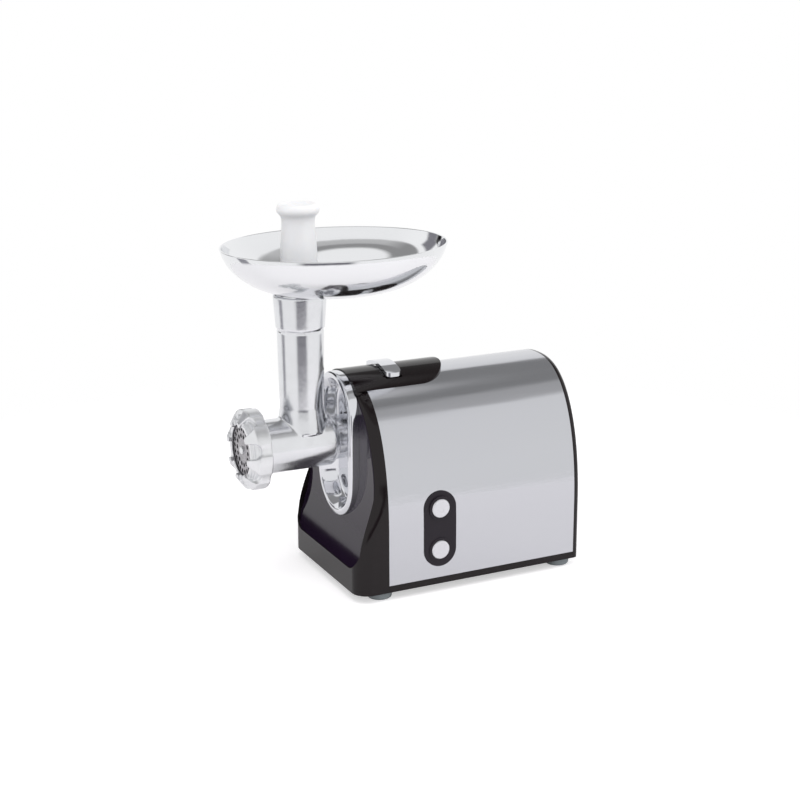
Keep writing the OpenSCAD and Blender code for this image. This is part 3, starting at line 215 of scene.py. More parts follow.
def lamp(name, place, width, power):
    light = bpy.data.lights.new(name, "AREA")
    light.size = width
    light.energy = power
    thing = bpy.data.objects.new(name, light)
    bpy.context.scene.collection.objects.link(thing)
    facing = (machine_middle - Vector(place)).to_track_quat("-Z", "Y").to_matrix().to_4x4()
    thing.matrix_world = Matrix.Translation(place) @ facing
    thing.visible_glossy = False
    return thing


lamps = [
    lamp("high_cloth", (-0.5, -0.9, 1.9), 1.4, 13),
    lamp("right_cloth", (1.7, -0.7, 0.9), 1.0, 8),
]
print("lamps:", [thing.name for thing in lamps])

# %% [markdown]
# ## The table
# The machine stands on a plain round table. Its finish adds a little light of its own for the
# camera, and fades away towards the edge, so that the table melts into the white room while it
# still keeps the soft dark contact under the feet. Metal sees a fainter share of that light.

# %% Table top
table_radius, fade_from, fade_to = 0.78, 0.6, 0.75
under_feet = 0.2 * MM
bpy.ops.mesh.primitive_circle_add(vertices=96, radius=table_radius, fill_type="NGON",
    location=(0, 0, -under_feet))
table = bpy.context.object
table.name = "table"
print("table radius:", round(table.dimensions.x / 2, 3), "m")

# %% Table paint
table_top = bpy.data.materials.new("painted_table")
table_top.use_nodes = True
tree = table_top.node_tree
paint = tree.nodes["Principled BSDF"]
spot = add(tree, "TexCoord").outputs["Object"]
grain = add(tree, "TexNoise", {"Vector": spot, "Scale": 900.0})
rub = add(tree, "Bump", {"Height": grain.outputs["Fac"], "Strength": 0.05, "Distance": 0.1 * MM})
fill(tree, paint, {
    "Base Color": colour("#e9e7e9"), "Roughness": 0.9, "Specular IOR Level": 0.1,
    "Normal": rub.outputs["Normal"]})

glow = add(tree, "Emission", {"Color": (1, 1, 1, 1), "Strength": 0.5})
dark = add(tree, "Emission", {"Strength": 0.0})
eye = add(tree, "LightPath")
faint = add(tree, "Math", {0: eye.outputs["Is Glossy Ray"], 1: 0.45}, operation="MULTIPLY")
sight = add(tree, "Math", {0: eye.outputs["Is Camera Ray"], 1: faint.outputs["Value"]},
    operation="MAXIMUM")
shown = add(tree, "MixShader", {0: sight.outputs["Value"], 1: dark.outputs[0], 2: glow.outputs[0]})
total = add(tree, "AddShader", {0: paint.outputs[0], 1: shown.outputs[0]})

spread = add(tree, "VectorMath", {0: spot}, operation="LENGTH")
fade = add(tree, "MapRange", {
    "Value": spread.outputs["Value"], "From Min": fade_from, "From Max": fade_to},
    interpolation_type="SMOOTHSTEP")
clear = add(tree, "BsdfTransparent")
whole = add(tree, "MixShader", {0: fade.outputs["Result"], 1: total.outputs[0], 2: clear.outputs[0]})
fill(tree, tree.nodes["Material Output"], {"Surface": whole.outputs[0]})
table.data.materials.append(table_top)
print("table fades from", fade_from, "to", fade_to, "m")

# %% [markdown]
# ## Starting a finish
# Every finish reads the piece's own coordinates, turned into millimetres by one Mapping node, so
# a pattern's scale can be written as one over its real size. Numbers that are the same all over
# the surface are set on the shader itself.
# A Wave texture of scale 1 repeats every 0.314 units, so its scale is that over the spacing.

# %% A blank finish in millimetres
finishes = {}
wave_unit = 0.314


def start(name, base, **constants):
    material = bpy.data.materials.new(name)
    material.use_nodes = True
    tree = material.node_tree
    shader = tree.nodes["Principled BSDF"]
    fill(tree, shader, {"Base Color": colour(base)})
    fill(tree, shader, {key.replace("_", " "): value for key, value in constants.items()})
    object_space = add(tree, "TexCoord").outputs["Object"]
    in_mm = add(tree, "Mapping", {"Vector": object_space, "Scale": (1 / MM, 1 / MM, 1 / MM)})
    return material, tree, shader, in_mm.outputs["Vector"]


print("one unit of a finish is", MM, "m")

# %% [markdown]
# ## Brushed stainless steel
# The casing is sheet steel with the hairline finish of a belt grinder, along its length. That
# gives the eye long pale and dark hairs and blurs every reflection across them. Real hairs are
# near 0.05 mm and would vanish here, so they are drawn 0.5 mm wide and 70 mm long. The sheet
# itself sways a little, 16 mm from wave to wave, which makes the reflected bands waver.

# %% Brushed steel
hair_long, hair_wide = 70, 0.5
sway_long, sway_wide = 150, 16
steel, tree, shader, mm = start(
    "brushed_stainless_steel", "#cccdd2", Metallic=1.0, Anisotropic=0.3)
hairs = add(tree, "Mapping", {
    "Vector": mm, "Scale": (1 / hair_long, 1 / hair_wide, 1 / hair_wide)})
hair = add(tree, "TexNoise", {
    "Vector": hairs.outputs["Vector"], "Scale": 1.0, "Detail": 5.0, "Roughness": 0.65})
cloud = add(tree, "TexNoise", {"Vector": mm, "Scale": 1 / 55, "Detail": 2.0})
rough = add(tree, "MapRange", {
    "Value": hair.outputs["Fac"], "From Min": 0.3, "From Max": 0.7, "To Min": 0.1, "To Max": 0.16})
tint = add(tree, "MixRGB", {
    "Fac": hair.outputs["Fac"], "Color1": colour("#c3c4c9"), "Color2": colour("#cdced2")})
worn = add(tree, "MixRGB", {
    "Fac": cloud.outputs["Fac"], "Color1": tint.outputs["Color"], "Color2": colour("#c8c9ce")})
sheet_waves = add(tree, "Mapping", {
    "Vector": mm, "Scale": (1 / sway_long, 1 / sway_wide, 1 / sway_wide)})
sway = add(tree, "TexNoise", {
    "Vector": sheet_waves.outputs["Vector"], "Scale": 1.0, "Detail": 2.0})
sheet_bend = add(tree, "Bump", {
    "Height": sway.outputs["Fac"], "Strength": 0.6, "Distance": 0.45 * MM})
lines = add(tree, "Bump", {
    "Height": hair.outputs["Fac"], "Strength": 0.2, "Distance": 0.01 * MM,
    "Normal": sheet_bend.outputs["Normal"]})
fill(tree, shader, {
    "Base Color": worn.outputs["Color"], "Roughness": rough.outputs["Result"],
    "Normal": lines.outputs["Normal"]})
finishes["brushed"] = steel
print("brushed steel: hair width", hair_wide, "mm, length", hair_long, "mm")

# %% [markdown]
# ## Chrome plating
# The oval bezel and the release strap are plated plastic. Chrome is nearly a mirror, and the
# plastic under it gives a slow ripple a few millimetres long. Finger marks show as faint dull
# patches, so the roughness moves a little over twenty millimetres.

# %% Chrome
ripple_mm, touch_mm = 9, 22
chrome, tree, shader, mm = start("chrome_plating", "#dddee2", Metallic=1.0)
touch = add(tree, "TexNoise", {
    "Vector": mm, "Scale": 1 / touch_mm, "Detail": 4.0, "Roughness": 0.6})
rough = add(tree, "MapRange", {
    "Value": touch.outputs["Fac"], "From Min": 0.35, "From Max": 0.75,
    "To Min": 0.045, "To Max": 0.12})
ripple = add(tree, "TexNoise", {"Vector": mm, "Scale": 1 / ripple_mm, "Detail": 1.0})
bend = add(tree, "Bump", {"Height": ripple.outputs["Fac"], "Strength": 0.3, "Distance": 0.06 * MM})
fill(tree, shader, {"Roughness": rough.outputs["Result"], "Normal": bend.outputs["Normal"]})
finishes["chromed"] = chrome
print("chrome: ripple", ripple_mm, "mm")

# %% [markdown]
# ## Polished stainless steel
# The tray is pressed from sheet and polished while it turns, which leaves fine rings. They are
# too fine to see one by one, so they are drawn 1.4 mm apart and only touch the roughness and,
# faintly, the surface. The press leaves slow waves, which bend what the steel reflects.

# %% Tray steel
ring_gap = 1.4
tray_low, tray_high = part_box("food_tray")
tray_mid = (tray_low + tray_high) / 2
polished, tree, shader, mm = start("polished_stainless_steel", "#ebecee", Metallic=1.0)
centred = add(tree, "Mapping", {"Vector": mm, "Location": [-v / MM for v in tray_mid]})
rings = add(tree, "TexWave", {
    "Vector": centred.outputs["Vector"], "Scale": wave_unit / ring_gap, "Distortion": 0.6,
    "Detail": 2.0}, wave_type="RINGS", rings_direction="Z")
haze = add(tree, "TexNoise", {"Vector": mm, "Scale": 1 / 30, "Detail": 3.0})
mixed = add(tree, "Math", {0: rings.outputs["Fac"], 1: haze.outputs["Fac"]}, operation="MULTIPLY")
rough = add(tree, "MapRange", {
    "Value": mixed.outputs["Value"], "From Max": 0.6, "To Min": 0.07, "To Max": 0.13})
wave = add(tree, "TexNoise", {"Vector": mm, "Scale": 1 / 28, "Detail": 1.0})
press = add(tree, "Bump", {"Height": wave.outputs["Fac"], "Strength": 0.4, "Distance": 0.4 * MM})
turning = add(tree, "Bump", {
    "Height": rings.outputs["Fac"], "Strength": 0.08, "Distance": 0.01 * MM,
    "Normal": press.outputs["Normal"]})
fill(tree, shader, {"Roughness": rough.outputs["Result"], "Normal": turning.outputs["Normal"]})
finishes["tray_steel"] = polished
print("tray rings", ring_gap, "mm apart round", [round(v, 3) for v in tray_mid])

# %% [markdown]
# ## Cast aluminium
# The head is die cast and buffed until it shines, but a casting is never quite flat: slow waves
# some 14 mm long bend its reflections, and small pits stay in the skin. The ring nut and the feed
# screw are only tumbled, so they keep a fine pearly grain. The gearbox and the motor's brackets
# stay raw, as they leave the mould, and look dull and grey.
# Each row holds the colour, the roughness from and to, and the length and depth of the waves and
# of the grain in millimetres.

# %% Cast aluminium
castings = (
    ("polished_alloy", "buffed_cast_aluminium", "#e8e9ec", 0.15, 0.24, 14, 0.22, 0.9, 0.01),
    ("satin_alloy", "tumbled_cast_aluminium", "#ecedef", 0.27, 0.38, 8, 0.15, 0.6, 0.03),
    ("gear_alloy", "raw_die_cast_aluminium", "#a9abb0", 0.38, 0.55, 6, 0.2, 0.5, 0.05),
)
for slot, name, base, low, high, wave_mm, wave_depth, grain_mm, grain_depth in castings:
    alloy, tree, shader, mm = start(name, base, Metallic=1.0)
    slow = add(tree, "TexNoise", {"Vector": mm, "Scale": 1 / wave_mm, "Detail": 2.0})
    grain = add(tree, "TexNoise", {
        "Vector": mm, "Scale": 1 / grain_mm, "Detail": 3.0, "Roughness": 0.7})
    pits = add(tree, "TexVoronoi", {"Vector": mm, "Scale": 1 / 3.5})
    pit = add(tree, "MapRange", {
        "Value": pits.outputs["Distance"], "From Min": 0.05, "From Max": 0.12})
    rough = add(tree, "MapRange", {
        "Value": grain.outputs["Fac"], "From Min": 0.3, "From Max": 0.7,
        "To Min": low, "To Max": high})
    shade = add(tree, "MixRGB", {
        "Fac": slow.outputs["Fac"], "Color1": colour(base), "Color2": colour(base, 0.88)})
    bend = add(tree, "Bump", {
        "Height": slow.outputs["Fac"], "Strength": 0.5, "Distance": wave_depth * MM})
    hole = add(tree, "Bump", {
        "Height": pit.outputs["Result"], "Strength": 0.25, "Distance": 0.04 * MM,
        "Normal": bend.outputs["Normal"]})
    fine = add(tree, "Bump", {
        "Height": grain.outputs["Fac"], "Strength": 0.4, "Distance": grain_depth * MM,
        "Normal": hole.outputs["Normal"]})
    fill(tree, shader, {
        "Base Color": shade.outputs["Color"], "Roughness": rough.outputs["Result"],
        "Normal": fine.outputs["Normal"]})
    finishes[slot] = alloy
    print(name, "waves", wave_mm, "mm, grain", grain_mm, "mm")

# %% [markdown]
# ## Black ABS
# The front, top, rear and base are moulded ABS from a polished tool. The skin is glossy, with
# the faint orange peel of a moulding, and handling leaves hair-fine rubs that only dull it. The
# front panel is a separate moulding in a slightly warmer, plum black. The switch plate comes from
# a spark-eroded tool, which gives an even, satin grain of about half a millimetre.
# Each row holds the colour, the shine, the roughness from and to, the size of the orange peel and
# the depth of the spark grain in millimetres, which is nothing on the glossy ones.

# %% Black mouldings
spark_mm = 0.5
mouldings = (
    ("black_shell", "gloss_black_abs", "#120b0d", 0.34, 0.07, 0.15, 7, 0.0),
    ("front_black", "gloss_warm_black_abs", "#1b1121", 0.42, 0.06, 0.12, 9, 0.0),
    ("charcoal", "spark_grained_charcoal_abs", "#1f1a21", 0.3, 0.42, 0.52, 7, 0.04),
)
for slot, name, base, shine, low, high, peel_mm, grain_depth in mouldings:
    plastic, tree, shader, mm = start(name, base, IOR=1.46, Specular_IOR_Level=shine)
    peel = add(tree, "TexNoise", {"Vector": mm, "Scale": 1 / peel_mm, "Detail": 1.0})
    rubs = add(tree, "Mapping", {
        "Vector": mm, "Rotation": (0.5, 0.3, 0.7), "Scale": (1 / 18, 1.6, 1.6)})
    rub = add(tree, "TexNoise", {
        "Vector": rubs.outputs["Vector"], "Scale": 1.0, "Detail": 4.0, "Roughness": 0.7})
    rough = add(tree, "MapRange", {
        "Value": rub.outputs["Fac"], "From Min": 0.4, "From Max": 0.8,
        "To Min": low, "To Max": high})
    dust = add(tree, "MixRGB", {
        "Fac": rub.outputs["Fac"], "Color1": colour(base), "Color2": colour(base, 1.25)})
    skin = add(tree, "Bump", {
        "Height": peel.outputs["Fac"], "Strength": 0.3, "Distance": 0.05 * MM})
    if grain_depth:
        spark = add(tree, "TexNoise", {"Vector": mm, "Scale": 1 / spark_mm, "Detail": 2.0})
        skin = add(tree, "Bump", {
            "Height": spark.outputs["Fac"], "Strength": 0.6, "Distance": grain_depth * MM,
            "Normal": skin.outputs["Normal"]})
    fill(tree, shader, {
        "Base Color": dust.outputs["Color"], "Roughness": rough.outputs["Result"],
        "Normal": skin.outputs["Normal"]})
    finishes[slot] = plastic
    print(name, "peel", peel_mm, "mm")

# %% [markdown]
# ## Milky and soft plastics
# The pusher is white polypropylene. Light enters it and spreads a few millimetres before it
# leaves, so it looks milky, with a waxy shine and faint flow clouds. The gears are natural nylon,
# which is creamier and greased. The feet are grey rubber with a chalky bloom.
# Each row holds two colours, the roughness from and to, how much light goes inside, and the size
# of the clouds in millimetres.

# %% Polypropylene, nylon and rubber
soft_plastics = (
    ("pusher_plastic", "white_polypropylene", "#fafafb", "#f2f2f5", 0.28, 0.4, 0.25, 18),
    ("nylon", "natural_nylon", "#e6dfcd", "#d9cfb8", 0.3, 0.48, 0.15, 10),
    ("rubber", "grey_rubber", "#7b8285", "#8a9194", 0.7, 0.85, 0.0, 6),
)
for slot, name, base, second, low, high, deep, cloud_mm in soft_plastics:
    soft, tree, shader, mm = start(name, base, IOR=1.49)
    fill(tree, shader, {
        "Subsurface Weight": deep, "Subsurface Scale": 4 * MM,
        "Subsurface Radius": (1.0, 0.9, 0.8)})
    flow = add(tree, "TexNoise", {"Vector": mm, "Scale": 1 / cloud_mm, "Detail": 3.0})
    grain = add(tree, "TexNoise", {"Vector": mm, "Scale": 1 / 0.8, "Detail": 2.0})
    shade = add(tree, "MixRGB", {
        "Fac": flow.outputs["Fac"], "Color1": colour(base), "Color2": colour(second)})
    rough = add(tree, "MapRange", {
        "Value": grain.outputs["Fac"], "From Min": 0.3, "From Max": 0.7,
        "To Min": low, "To Max": high})
    waxy = add(tree, "Bump", {
        "Height": grain.outputs["Fac"], "Strength": 0.25, "Distance": 0.04 * MM})
    fill(tree, shader, {
        "Base Color": shade.outputs["Color"], "Roughness": rough.outputs["Result"],
        "Normal": waxy.outputs["Normal"]})
    finishes[slot] = soft
    print(name, "clouds", cloud_mm, "mm")

# %% [markdown]
# ## Painted silver
# The two round buttons are plastic with a silver lacquer. Flakes in the lacquer sparkle, so a
# cell pattern with flakes of a third of a millimetre tips the surface a little this way and that.

# %% Silver lacquer
flake_mm = 0.35
silver, tree, shader, mm = start("silver_lacquer", "#d4d4d8", Metallic=0.85, Roughness=0.27)
flakes = add(tree, "TexVoronoi", {"Vector": mm, "Scale": 1 / flake_mm})
shade = add(tree, "MixRGB", {
    "Fac": flakes.outputs["Color"], "Color1": colour("#cbcbd0"), "Color2": colour("#e4e4e8")})
tips = add(tree, "Bump", {
    "Height": flakes.outputs["Distance"], "Strength": 0.25, "Distance": 0.05 * MM})
fill(tree, shader, {"Base Color": shade.outputs["Color"], "Normal": tips.outputs["Normal"]})
finishes["silver_plastic"] = silver
print("silver lacquer: flakes", flake_mm, "mm")

# %% [markdown]
# ## Working steels
# Screws are zinc plated, with a bluish, cloudy sheen. Springs are drawn wire, with marks along
# it. The knife, plate and pinions are ground steel: grinding lines cross the faces, and use has
# left darker clouds. Each differs in colour, in the size of its marks and in how dull it is.
# Each row holds two colours, the roughness from and to, how many marks go to a millimetre along
# each axis, and their depth in millimetres.

# %% Zinc, spring and tool steel
steels = (
    ("screw_steel", "zinc_plated_steel", "#9ea3aa", "#b9bcc0", 0.3, 0.45, (0.4, 0.4, 0.4), 0.02),
    ("spring_steel", "drawn_spring_wire", "#a8a9ac", "#8d8e92", 0.24, 0.34, (3.0, 3.0, 0.4), 0.01),
    ("tool_steel", "ground_tool_steel", "#b1b0b3", "#928f93", 0.22, 0.38, (0.08, 2.5, 2.5), 0.02),
)
for slot, name, base, second, low, high, per_mm, depth in steels:
    working, tree, shader, mm = start(name, base, Metallic=1.0)
    marks = add(tree, "Mapping", {"Vector": mm, "Scale": per_mm})
    mark = add(tree, "TexNoise", {
        "Vector": marks.outputs["Vector"], "Scale": 1.0, "Detail": 5.0, "Roughness": 0.6})
    cloud = add(tree, "TexNoise", {"Vector": mm, "Scale": 1 / 7, "Detail": 3.0})
    shade = add(tree, "MixRGB", {
        "Fac": cloud.outputs["Fac"], "Color1": colour(base), "Color2": colour(second)})
    rough = add(tree, "MapRange", {
        "Value": mark.outputs["Fac"], "From Min": 0.3, "From Max": 0.7,
        "To Min": low, "To Max": high})
    scratch = add(tree, "Bump", {
        "Height": mark.outputs["Fac"], "Strength": 0.4, "Distance": depth * MM})
    fill(tree, shader, {
        "Base Color": shade.outputs["Color"], "Roughness": rough.outputs["Result"],
        "Normal": scratch.outputs["Normal"]})
    finishes[slot] = working
    print(name, "marks to a millimetre", per_mm)

# %% [markdown]
# ## Bronze
# The bushes are sintered bronze: pressed powder with open pores that hold oil, so it is dull,
# brown-gold and speckled. A cell pattern gives the pores, drawn 0.7 mm apart and slightly sunk.

# %% Bronze
pore_mm = 0.7
bronze, tree, shader, mm = start("sintered_bronze", "#a9824c", Metallic=1.0, Roughness=0.46)
pores = add(tree, "TexVoronoi", {"Vector": mm, "Scale": 1 / pore_mm})
pore = add(tree, "MapRange", {
    "Value": pores.outputs["Distance"], "From Min": 0.1, "From Max": 0.35})
shade = add(tree, "MixRGB", {
    "Fac": pore.outputs["Result"], "Color1": colour("#6d4f2c"), "Color2": colour("#b58d55")})
sunk = add(tree, "Bump", {"Height": pore.outputs["Result"], "Strength": 0.5, "Distance": 0.06 * MM})
fill(tree, shader, {"Base Color": shade.outputs["Color"], "Normal": sunk.outputs["Normal"]})
finishes["bronze"] = bronze
print("bronze pores", pore_mm, "mm apart")

# %% [markdown]
# ## Copper wire
# The windings are enamelled copper wire laid side by side under a clear coat of varnish, so fine
# ridges run across each coil. Bands 0.9 mm apart stand for the wires. Their colour is painted
# shade in the creases between the wires and a painted highlight on each crown.

# %% Copper
wire_mm = 0.9
copper, tree, shader, mm = start("enamelled_copper_wire", "#b3652f", Metallic=1.0, Roughness=0.3)
fill(tree, shader, {"Coat Weight": 0.6, "Coat Roughness": 0.15})
wires = add(tree, "TexWave", {
    "Vector": mm, "Scale": wave_unit / wire_mm, "Distortion": 0.5, "Detail": 1.0},
    bands_direction="DIAGONAL")
# The colour follows the ridges: painted shade in the creases and a painted highlight on the crowns.
shade = add(tree, "MixRGB", {
    "Fac": wires.outputs["Fac"], "Color1": colour("#7c3f1c"), "Color2": colour("#c9763a")})
ridges = add(tree, "Bump", {"Height": wires.outputs["Fac"], "Strength": 0.7, "Distance": 0.2 * MM})
fill(tree, shader, {"Base Color": shade.outputs["Color"], "Normal": ridges.outputs["Normal"]})
finishes["copper"] = copper
print("copper wires", wire_mm, "mm apart")

# %% [markdown]
# ## Laminated iron
# The motor's core is a stack of thin iron sheets, so fine lines cross it. Bands along the motor's
# axle, 1 mm apart, give the dark gaps between the sheets.

# %% Iron core
sheet_mm = 1.0
iron, tree, shader, mm = start("laminated_iron", "#6f7278", Metallic=1.0, Roughness=0.42)
sheets = add(tree, "TexWave", {"Vector": mm, "Scale": wave_unit / sheet_mm, "Distortion": 0.2},
    bands_direction="X")
shade = add(tree, "MixRGB", {
    "Fac": sheets.outputs["Fac"], "Color1": colour("#4b4d52"), "Color2": colour("#84878d")})
seams = add(tree, "Bump", {"Height": sheets.outputs["Fac"], "Strength": 0.6, "Distance": 0.1 * MM})
fill(tree, shader, {"Base Color": shade.outputs["Color"], "Normal": seams.outputs["Normal"]})
finishes["laminations"] = iron
print("iron sheets", sheet_mm, "mm thick")

# %% [markdown]
# ## Carbon and circuit board
# The brushes are pressed carbon, matt and near black, with a grain of powder. The board is glass
# and resin under green lacquer, with paler tracks where copper runs beneath, and the weave of the
# glass shows in bumps.

# %% Carbon brushes
powder_mm = 0.4
carbon, tree, shader, mm = start("pressed_carbon", "#232325", Roughness=0.6)
powder = add(tree, "TexNoise", {"Vector": mm, "Scale": 1 / powder_mm, "Detail": 3.0})
shade = add(tree, "MixRGB", {
    "Fac": powder.outputs["Fac"], "Color1": colour("#1b1b1d"), "Color2": colour("#38383b")})
dull = add(tree, "Bump", {"Height": powder.outputs["Fac"], "Strength": 0.4, "Distance": 0.05 * MM})
fill(tree, shader, {"Base Color": shade.outputs["Color"], "Normal": dull.outputs["Normal"]})
finishes["carbon"] = carbon
print("carbon grain", powder_mm, "mm")

# %% Circuit board
track_gap = 5
board, tree, shader, mm = start("green_lacquered_board", "#1f5a36", Roughness=0.3, IOR=1.5)
tracks = add(tree, "TexVoronoi", {"Vector": mm, "Scale": 1 / track_gap},
    distance="MANHATTAN", feature="F1")
track = add(tree, "MapRange", {
    "Value": tracks.outputs["Distance"], "From Min": 0.34, "From Max": 0.38})
shade = add(tree, "MixRGB", {
    "Fac": track.outputs["Result"], "Color1": colour("#1d5433"), "Color2": colour("#3d7f4c")})
weave = add(tree, "TexChecker", {"Vector": mm, "Scale": 1.4})
woven = add(tree, "Bump", {"Height": weave.outputs["Fac"], "Strength": 0.2, "Distance": 0.03 * MM})
fill(tree, shader, {"Base Color": shade.outputs["Color"], "Normal": woven.outputs["Normal"]})
finishes["board_green"] = board
print("finishes:", sorted(finishes))

# %% [markdown]
# ## Giving every solid its finish
# The record names a material slot for each solid. One pass puts the finish of that slot on each
# of them, and the outer pieces that are remodelled below take theirs from the same list.

# %% Dress the solids
record = frame["record"]
slot_of = {part["node"]: part["material_slot"] for part in record["subparts"]}
body_of = {node: body for body, nodes in record["behaviour"]["bodies"].items() for node in nodes}
for node, thing in frame["nodes"].items():
    for place in thing.material_slots:
        place.material = finishes[slot_of[node]]
    if not thing.material_slots:
        thing.data.materials.append(finishes[slot_of[node]])
print("dressed", len(frame["nodes"]), "solids in", len(set(slot_of.values())), "finishes")

# %% [markdown]
# ## Softening the moulded and pressed pieces
# No real edge is perfectly sharp: a moulding has a radius of half a millimetre, a pressed sheet a
# tenth or two, and it is this radius that catches the light as a thin bright line. The exact
# solid is copied, its triangles are joined back into whole faces, and a Bevel modifier rounds the
# edges that turn by more than a set angle. A Weighted Normal modifier keeps the large faces calm,
# so that they reflect like the true surface. The copy then stands for the solid.

# %% Copy a solid
same_point = 0.002 * MM
same_plane = math.radians(0.4)


def only(*pieces):
    bpy.ops.object.select_all(action="DESELECT")
    for piece in pieces:
        piece.select_set(True)
    bpy.context.view_layer.objects.active = pieces[-1]


def copy_solid(node):
    piece = bpy.data.objects.new(node + "_fine", frame["nodes"][node].data.copy())
    bpy.context.scene.collection.objects.link(piece)
    only(piece)
    bpy.ops.mesh.customdata_custom_splitnormals_clear()
    bpy.ops.object.mode_set(mode="EDIT")
    bpy.ops.mesh.select_all(action="SELECT")
    bpy.ops.mesh.remove_doubles(threshold=same_point)
    bpy.ops.mesh.dissolve_limited(angle_limit=same_plane)
    bpy.ops.object.mode_set(mode="OBJECT")
    return piece


print("points closer than", same_point / MM, "mm are joined")

# %% Soften and hand over
def apply(piece, kind, **settings):
    only(piece)
    modifier = piece.modifiers.new(kind.lower(), kind)
    for key, value in settings.items():
        setattr(modifier, key, value)
    bpy.ops.object.modifier_apply(modifier=modifier.name)


def hand_over(piece, node, angle=35, flat_faces=False):
    only(piece)
    bpy.ops.object.transform_apply(location=True, rotation=True, scale=True)
    bpy.ops.object.shade_smooth_by_angle(angle=math.radians(angle))
    if flat_faces:
        apply(piece, "WEIGHTED_NORMAL", keep_sharp=True, weight=80)
    piece.data.materials.clear()
    piece.data.materials.append(finishes[slot_of[node]])
    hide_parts(node)
    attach(piece, body_of[node])
    faces = sum(len(face.vertices) - 2 for face in piece.data.polygons)
    print(piece.name, "rides on", body_of[node], "with", faces, "triangles")


print("moving bodies to ride on:", sorted(set(body_of.values())))

# %% [markdown]
# ## Edge radii of the casing, covers and controls
# Each row holds the width of the rounded edge in millimetres, the least angle of an edge that is
# rounded, and the number of strips across it. What is touched most, such as the covers and the
# release, is rounded most.

# %% Casing, covers and controls
edges = {
    "steel_wrap": (0.2, 30, 1), "front_cover": (0.9, 38, 3), "front_panel": (0.35, 38, 2),
    "rear_cover": (0.4, 38, 2), "base_pan": (0.4, 38, 1), "top_cover": (0.9, 38, 3),
    "release_button": (0.8, 38, 3), "switch_plate": (0.6, 38, 2), "power_button": (0.5, 38, 2),
    "reverse_button": (0.5, 38, 2), "rubber_feet": (0.8, 38, 2), "hub_socket": (0.5, 38, 2),
    "cutting_plate": (0.15, 38, 1), "cord_gland": (0.3, 38, 1), "rear_screws": (0.2, 38, 1),
}
for node, (width, angle, strips) in edges.items():
    piece = copy_solid(node)
    apply(piece, "BEVEL", width=width * MM, limit_method="ANGLE", angle_limit=math.radians(angle),
        segments=strips, use_clamp_overlap=True)
    hand_over(piece, node, flat_faces=True)

# %% [markdown]
# ## Cast pieces
# A casting has no sharp edge at all: the mould rounds every corner and tumbling wears it further.
# A voxel Remesh gives the copy one even skin, and a Smooth modifier then relaxes it, so that every
# edge and every inside corner turns into a soft fillet of about a millimetre.

# %% Head and ring nut
def cast_skin(node, voxel_mm, passes):
    piece = copy_solid(node)
    apply(piece, "REMESH", mode="VOXEL", voxel_size=voxel_mm * MM, use_smooth_shade=True)
    apply(piece, "SMOOTH", factor=0.5, iterations=passes)
    hand_over(piece, node, 60)


cast_skin("ring_nut", 0.62, 6)
cast_skin("head_casting", 0.95, 5)

# %% [markdown]
# ## Turned and pressed shapes from rings
# The tray, the pusher and the bezel are all rings stacked along a line: a circle is added, sized,
# and then its edge is extruded and resized again and again, as on a potter's wheel. A closed
# profile comes back to where it began, and merging the doubles closes the shell. Each ring is
# written as its two half widths and its place along the line.

# %% Stack of rings
merge_within = 0.005 * MM


def stack(name, centre, rings, along="Z", sides=96, caps=False):
    axis = "XYZ".index(along)
    tilt = {"X": (0, math.pi / 2, 0), "Z": (0, 0, 0)}[along]
    spots = [i for i in range(3) if i != axis]
    middle = Vector(centre)
    middle[axis] = rings[0][2]
    bpy.ops.object.select_all(action="DESELECT")
    bpy.ops.mesh.primitive_circle_add(vertices=sides, radius=1,
        fill_type="NGON" if caps else "NOTHING", location=middle, rotation=tilt)
    piece = bpy.context.object
    piece.name = name
    bpy.ops.object.mode_set(mode="EDIT")
    bpy.ops.mesh.select_all(action="SELECT")
    sizes = [1.0, 1.0]
    level = rings[0][2]
    for number, (first, second, place) in enumerate(rings):
        if number:
            bpy.ops.mesh.extrude_edges_move()
        scale = [1.0, 1.0, 1.0]
        for spot, old, new in zip(spots, sizes, (first, second)):
            scale[spot] = new / old
        middle[axis] = level
        bpy.ops.transform.resize(value=scale, center_override=middle)
        shift = [0.0, 0.0, 0.0]
        shift[axis] = place - level
        bpy.ops.transform.translate(value=shift)
        sizes, level = [first, second], place
    if caps:
        bpy.ops.mesh.edge_face_add()
    bpy.ops.mesh.select_all(action="SELECT")
    bpy.ops.mesh.remove_doubles(threshold=merge_within)
    bpy.ops.mesh.normals_make_consistent(inside=False)
    bpy.ops.object.mode_set(mode="OBJECT")
    only(piece)
    bpy.ops.object.transform_apply(location=True, rotation=True, scale=True)
    return piece


def bore(piece, radius, depth, place, turn=(0, 0, 0)):
    bpy.ops.mesh.primitive_cylinder_add(vertices=96, radius=radius, depth=depth, location=place,
        rotation=turn)
    cutter = bpy.context.object
    apply(piece, "BOOLEAN", operation="DIFFERENCE", solver="EXACT", object=cutter)
    bpy.data.objects.remove(cutter)


print("rings closer than", merge_within / MM, "mm are merged")

# %% [markdown]
# ## The food tray
# The tray is a deep oval dish pressed from thin sheet, with its edge rolled over so that it does
# not cut a hand. Its wall drops steeply from the rim and turns gently into the flat bottom. The
# dish is a stack of oval rings: up the outside, round the rolled edge and down the inside. A
# Boolean modifier then opens it over the feed tube, where a short sleeve drops into the tube.

# %% The tray's outline
tube = sum(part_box("pusher"), Vector()) / 2
rim_top = tray_high.z
half_long, half_wide = (tray_high.x - tray_low.x) / 2, (tray_high.y - tray_low.y) / 2
sheet, rim_step, bead_r = 1.2 * MM, 0.8 * MM, 0.9 * MM
tray_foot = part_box("head_casting")[1].z + 0.3 * MM
flat_share, roundness, wall_steps = 0.42, 1.8, 18
steps = [math.sin(math.radians(90 * i / wall_steps)) for i in range(wall_steps + 1)]


def dish(depth, inset, foot):
    fall = max(0.0, 1 - depth ** roundness) ** (1 / roundness)
    share = flat_share + (1 - flat_share) * fall
    return half_long * share - inset, half_wide * share - inset, rim_top - (rim_top - foot) * depth


